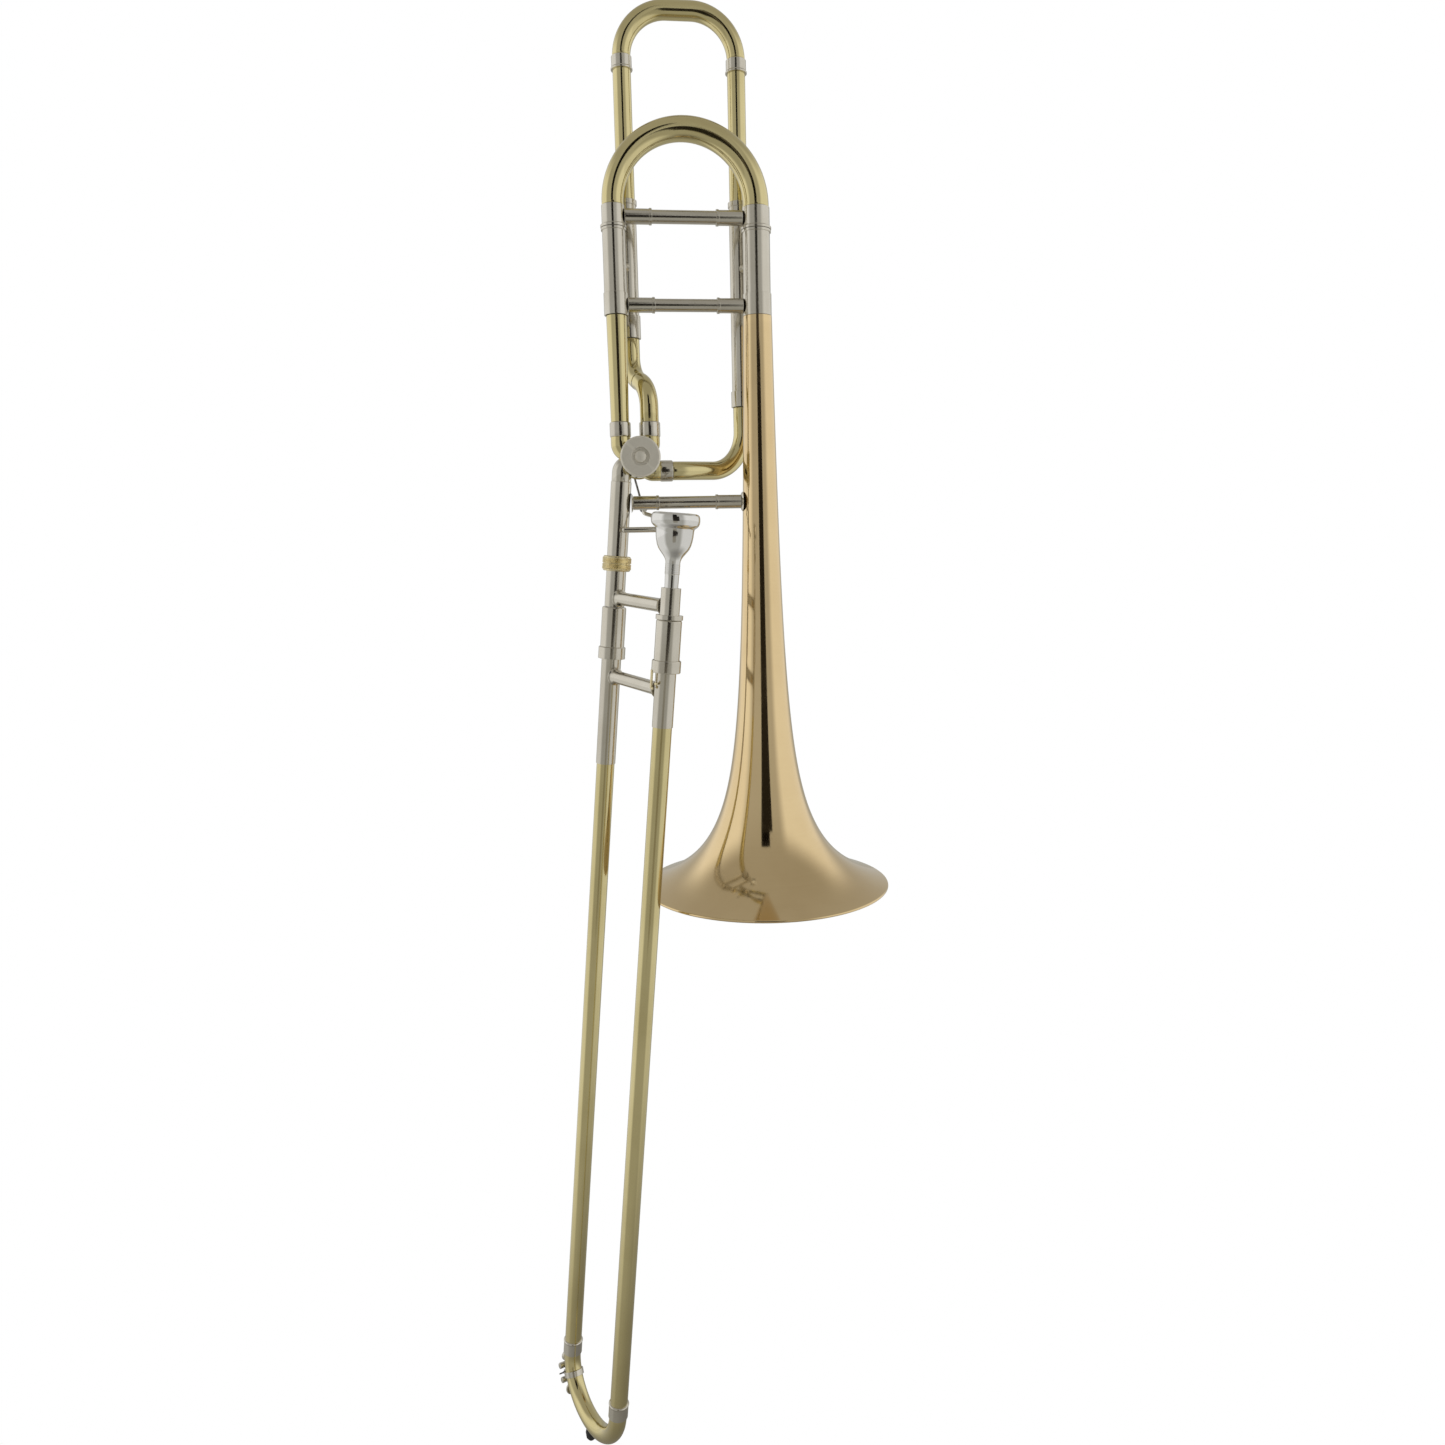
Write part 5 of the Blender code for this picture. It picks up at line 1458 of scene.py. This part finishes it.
def tent_light(net, settings, bearing, x, y, plain, band):
    """Light of the tent in a direction: plain, and brighter in two broad bands beside the camera."""
    forward = x * bearing.x + y * bearing.y
    right = y * bearing.x - x * bearing.y
    turn = net.math("ARCTAN2", right, forward)
    for low, high, strength in ((-140, -58, 0.95), (46, 140, 0.85)):
        side = net.between(turn, radians(low - 12), radians(low + 12)) * \
            net.between(turn, radians(high + 12), radians(high - 12))
        plain = net.blend(side * band * strength, plain,
                          tuple(settings.box_light * k for k in (1.0, 0.985, 0.95)))
    return plain


def make_room(settings, bearing):
    """A tent of soft light: white to the camera, and in reflections grey with two bright sides."""
    world = bpy.data.worlds.new("tent")
    bpy.context.scene.world = world
    world.use_nodes = True
    net = Net(world.node_tree)
    shader = world.node_tree.nodes["Background"]
    x, y, z = split_axes(net, net.term("ShaderNodeTexCoord", output="Generated"))
    room = settings.room_light
    walls = net.blend(net.between(z, 0.0, 0.9), tuple(room * k for k in (1.0, 0.985, 0.93)),
                      tuple(room * k for k in (0.84, 0.81, 0.74)))
    walls = tent_light(net, settings, bearing, x, y, walls, net.between(z, 0.80, 0.45))
    seen = net.term("ShaderNodeLightPath", output="Is Camera Ray")
    net.feed(shader.inputs["Color"], net.blend(seen, walls, (1.0, 1.0, 1.0)))


def floor_finish(settings, bearing):
    """A pale floor: white to the camera, and in reflections a glow of painted light, with the tent's light
    painted in two bands and painted shade close by.
    """
    material, net, shader = new_finish("pale_floor")
    x, y = split_axes(net, object_point(net))[:2]
    away = net.math("SQRT", x * x + y * y)
    mottle = noise(net, net.vector(x, y, 0.0), 3.0)
    # painted shade: the floor's glow is dimmer close to the trombone, where its shadow falls
    near = tuple(settings.room_light * k for k in (0.46, 0.44, 0.40))
    far = tuple(settings.room_light * k for k in (0.84, 0.82, 0.74))
    plain = net.blend(net.between(away + mottle * 0.1, 0.15, 1.1), near, far)
    # painted light: the tent's two bright bands are painted into the floor's glow
    painted_floor_light = tent_light(net, settings, bearing, x, y, plain, net.between(away, 0.25, 1.6) * 0.75)
    set_shader(net, shader, {"Base Color": (0.0, 0.0, 0.0), "Roughness": 0.9, "Emission Color": painted_floor_light,
                             "Emission Strength": 1.0, "Specular IOR Level": 0.0})
    bright = net.term("ShaderNodeEmission", None, {"Color": (1.0, 1.0, 1.0), "Strength": 1.0})
    seen = net.term("ShaderNodeLightPath", output="Is Camera Ray")
    mixed = net.term("ShaderNodeMixShader", None, {0: seen, 1: Term(net, shader.outputs[0]), 2: bright})
    net.feed(material.node_tree.nodes["Material Output"].inputs["Surface"], mixed)
    return material


def gap_finish(name, glow):
    """A dark opening in the tent: black high up, and dim brown lower down."""
    material, net, shader = new_finish(name)
    z = split_axes(net, object_point(net))[2]
    brown = net.blend(net.between(z, -0.4, 0.4), tuple(glow * k for k in (2.0, 1.85, 1.5)),
                      tuple(glow * k for k in (1.0, 0.86, 0.68)))
    shade = net.blend(net.between(z, 0.80, 1.10), brown, (0.006, 0.005, 0.004))
    set_shader(net, shader, {"Base Color": (0.0, 0.0, 0.0), "Roughness": 1.0, "Emission Color": shade,
                             "Emission Strength": 1.0, "Specular IOR Level": 0.0})
    return material


def upright_panel(name, centre, facing, half_width, low, high, material):
    """An upright panel that only reflections see."""
    aside = Vector((-facing.y, facing.x, 0)).normalized() * half_width
    corners = [Vector((*(centre + s * aside).xy, z)) for s, z in ((-1, low), (1, low), (1, high), (-1, high))]
    panel = stage_plane(name, corners, material)
    panel.visible_camera = False
    panel.visible_diffuse = False


def make_studio():
    """The floor, the tent and its dark openings, two soft boxes and the camera."""
    settings = setting("studio_settings")
    scene = bpy.context.scene
    scene.view_settings.view_transform = "Standard"
    camera_place = Vector(settings.camera_place)
    bearing = Vector((camera_place.x, camera_place.y, 0)).normalized()
    aside = Vector((-bearing.y, bearing.x, 0))
    floor_z, far = CAD_BOX[0].z - 0.30, 14.0
    stage_plane("floor", [(-far, -far, floor_z), (far, -far, floor_z), (far, far, floor_z),
                          (-far, far, floor_z)], floor_finish(settings, bearing))
    make_room(settings, bearing)
    gap_distance, gap_half_width, gap_top = 2.1, 0.38, 2.15
    upright_panel("tent_gap", bearing * gap_distance, bearing, gap_half_width, floor_z, gap_top,
                  gap_finish("gap", 0.15))
    shade_half_width, shade_below, shade_above = 0.24, 0.20, 0.40
    upright_panel("camera_shade", camera_place + bearing * 0.04 + aside * 0.06, bearing,
                  shade_half_width, camera_place.z - shade_below, camera_place.z + shade_above,
                  gap_finish("shade", 0.02))
    box_aside, box_forward, box_lift, box_size = 1.7, 0.9, 0.4, (0.8, 1.6)
    for name, side, strength in (("left_box", -1, 0.5), ("right_box", 1, 0.4)):
        spot = aside * side * box_aside + bearing * box_forward + Vector((0, 0, box_lift))
        soft_box(name, spot, box_size, strength, (0, 0, 0.2))
    camera = bpy.data.cameras.new("camera")
    camera.lens = settings.lens
    camera.clip_start = 0.05
    item = bpy.data.objects.new("camera", camera)
    scene.collection.objects.link(item)
    item.location = settings.camera_place
    item.rotation_euler = settings.camera_turn
    scene.camera = item


# ---------------------------------------------------------------- operators
class TROMBONE_OT_bell(bpy.types.Operator):
    """Spin the bell from its flare rule"""
    bl_idname = "trombone.bell"
    bl_label = "Bell"

    def execute(self, context):
        make_bell()
        return {"FINISHED"}


class TROMBONE_OT_main_slide(bpy.types.Operator):
    """Make the main tuning slide and its sleeves"""
    bl_idname = "trombone.main_slide"
    bl_label = "Main tuning slide"

    def execute(self, context):
        make_main_slide()
        return {"FINISHED"}


class TROMBONE_OT_braces(bpy.types.Operator):
    """Make the gooseneck, the bell braces and the struts"""
    bl_idname = "trombone.braces"
    bl_label = "Gooseneck and braces"

    def execute(self, context):
        make_braces()
        return {"FINISHED"}


class TROMBONE_OT_valve(bpy.types.Operator):
    """Make the rotary valve: casing, cap, back plate, rotor and stop arm"""
    bl_idname = "trombone.valve"
    bl_label = "Rotary valve"

    def execute(self, context):
        make_valve()
        make_rotor()
        return {"FINISHED"}


class TROMBONE_OT_f_attachment(bpy.types.Operator):
    """Make the F attachment's tubes, sleeves and tuning slide"""
    bl_idname = "trombone.f_attachment"
    bl_label = "F attachment"

    def execute(self, context):
        make_f_attachment()
        return {"FINISHED"}


class TROMBONE_OT_lever(bpy.types.Operator):
    """Make the thumb lever, its saddle, pin, spring and link"""
    bl_idname = "trombone.lever"
    bl_label = "Thumb lever"

    def execute(self, context):
        make_thumb_lever()
        return {"FINISHED"}


class TROMBONE_OT_neckpipe(bpy.types.Operator):
    """Make the neckpipe and its knurled nut"""
    bl_idname = "trombone.neckpipe"
    bl_label = "Neckpipe and nut"

    def execute(self, context):
        make_neckpipe()
        return {"FINISHED"}


class TROMBONE_OT_inner_slide(bpy.types.Operator):
    """Make the inner slide: tubes, barrels, brace, receiver and lock"""
    bl_idname = "trombone.inner_slide"
    bl_label = "Inner slide"

    def execute(self, context):
        make_inner_slide()
        return {"FINISHED"}


class TROMBONE_OT_outer_slide(bpy.types.Operator):
    """Make the outer slide: tubes, sleeves, brace, bow and bumper"""
    bl_idname = "trombone.outer_slide"
    bl_label = "Outer slide"

    def execute(self, context):
        make_outer_slide()
        return {"FINISHED"}


class TROMBONE_OT_water_key(bpy.types.Operator):
    """Make the water key on the bow"""
    bl_idname = "trombone.water_key"
    bl_label = "Water key"

    def execute(self, context):
        make_water_key()
        return {"FINISHED"}


class TROMBONE_OT_mouthpiece(bpy.types.Operator):
    """Turn the mouthpiece"""
    bl_idname = "trombone.mouthpiece"
    bl_label = "Mouthpiece"

    def execute(self, context):
        make_mouthpiece()
        return {"FINISHED"}


class TROMBONE_OT_studio(bpy.types.Operator):
    """Set up the floor, the lights and the camera"""
    bl_idname = "trombone.studio"
    bl_label = "Studio"

    def execute(self, context):
        make_studio()
        return {"FINISHED"}


OPERATORS = (
    TROMBONE_OT_bell, TROMBONE_OT_main_slide, TROMBONE_OT_braces, TROMBONE_OT_valve,
    TROMBONE_OT_f_attachment, TROMBONE_OT_lever, TROMBONE_OT_neckpipe, TROMBONE_OT_inner_slide,
    TROMBONE_OT_outer_slide, TROMBONE_OT_water_key, TROMBONE_OT_mouthpiece, TROMBONE_OT_studio,
)


class TROMBONE_PT_panel(bpy.types.Panel):
    """Lists the trombone's operators and settings"""
    bl_idname = "TROMBONE_PT_panel"
    bl_label = "Trombone"
    bl_space_type = "VIEW_3D"
    bl_region_type = "UI"
    bl_category = "Trombone"

    def draw(self, context):
        for operator in OPERATORS:
            self.layout.operator(operator.bl_idname)
        for name, group in GROUPS.items():
            box = self.layout.box()
            box.label(text=name.replace("_", " ").capitalize())
            for prop in group.__annotations__:
                box.prop(getattr(context.scene, name), prop)


def register():
    for name, group in GROUPS.items():
        bpy.utils.register_class(group)
        setattr(bpy.types.Scene, name, PointerProperty(type=group))
    for cls in (*OPERATORS, TROMBONE_PT_panel):
        bpy.utils.register_class(cls)


def unregister():
    for cls in (TROMBONE_PT_panel, *reversed(OPERATORS)):
        bpy.utils.unregister_class(cls)
    for name, group in reversed(GROUPS.items()):
        delattr(bpy.types.Scene, name)
        bpy.utils.unregister_class(group)


def main():
    register()
    for operator in OPERATORS:
        family, name = operator.bl_idname.split(".")
        getattr(getattr(bpy.ops, family), name)()


if __name__ == "__main__":
    main()
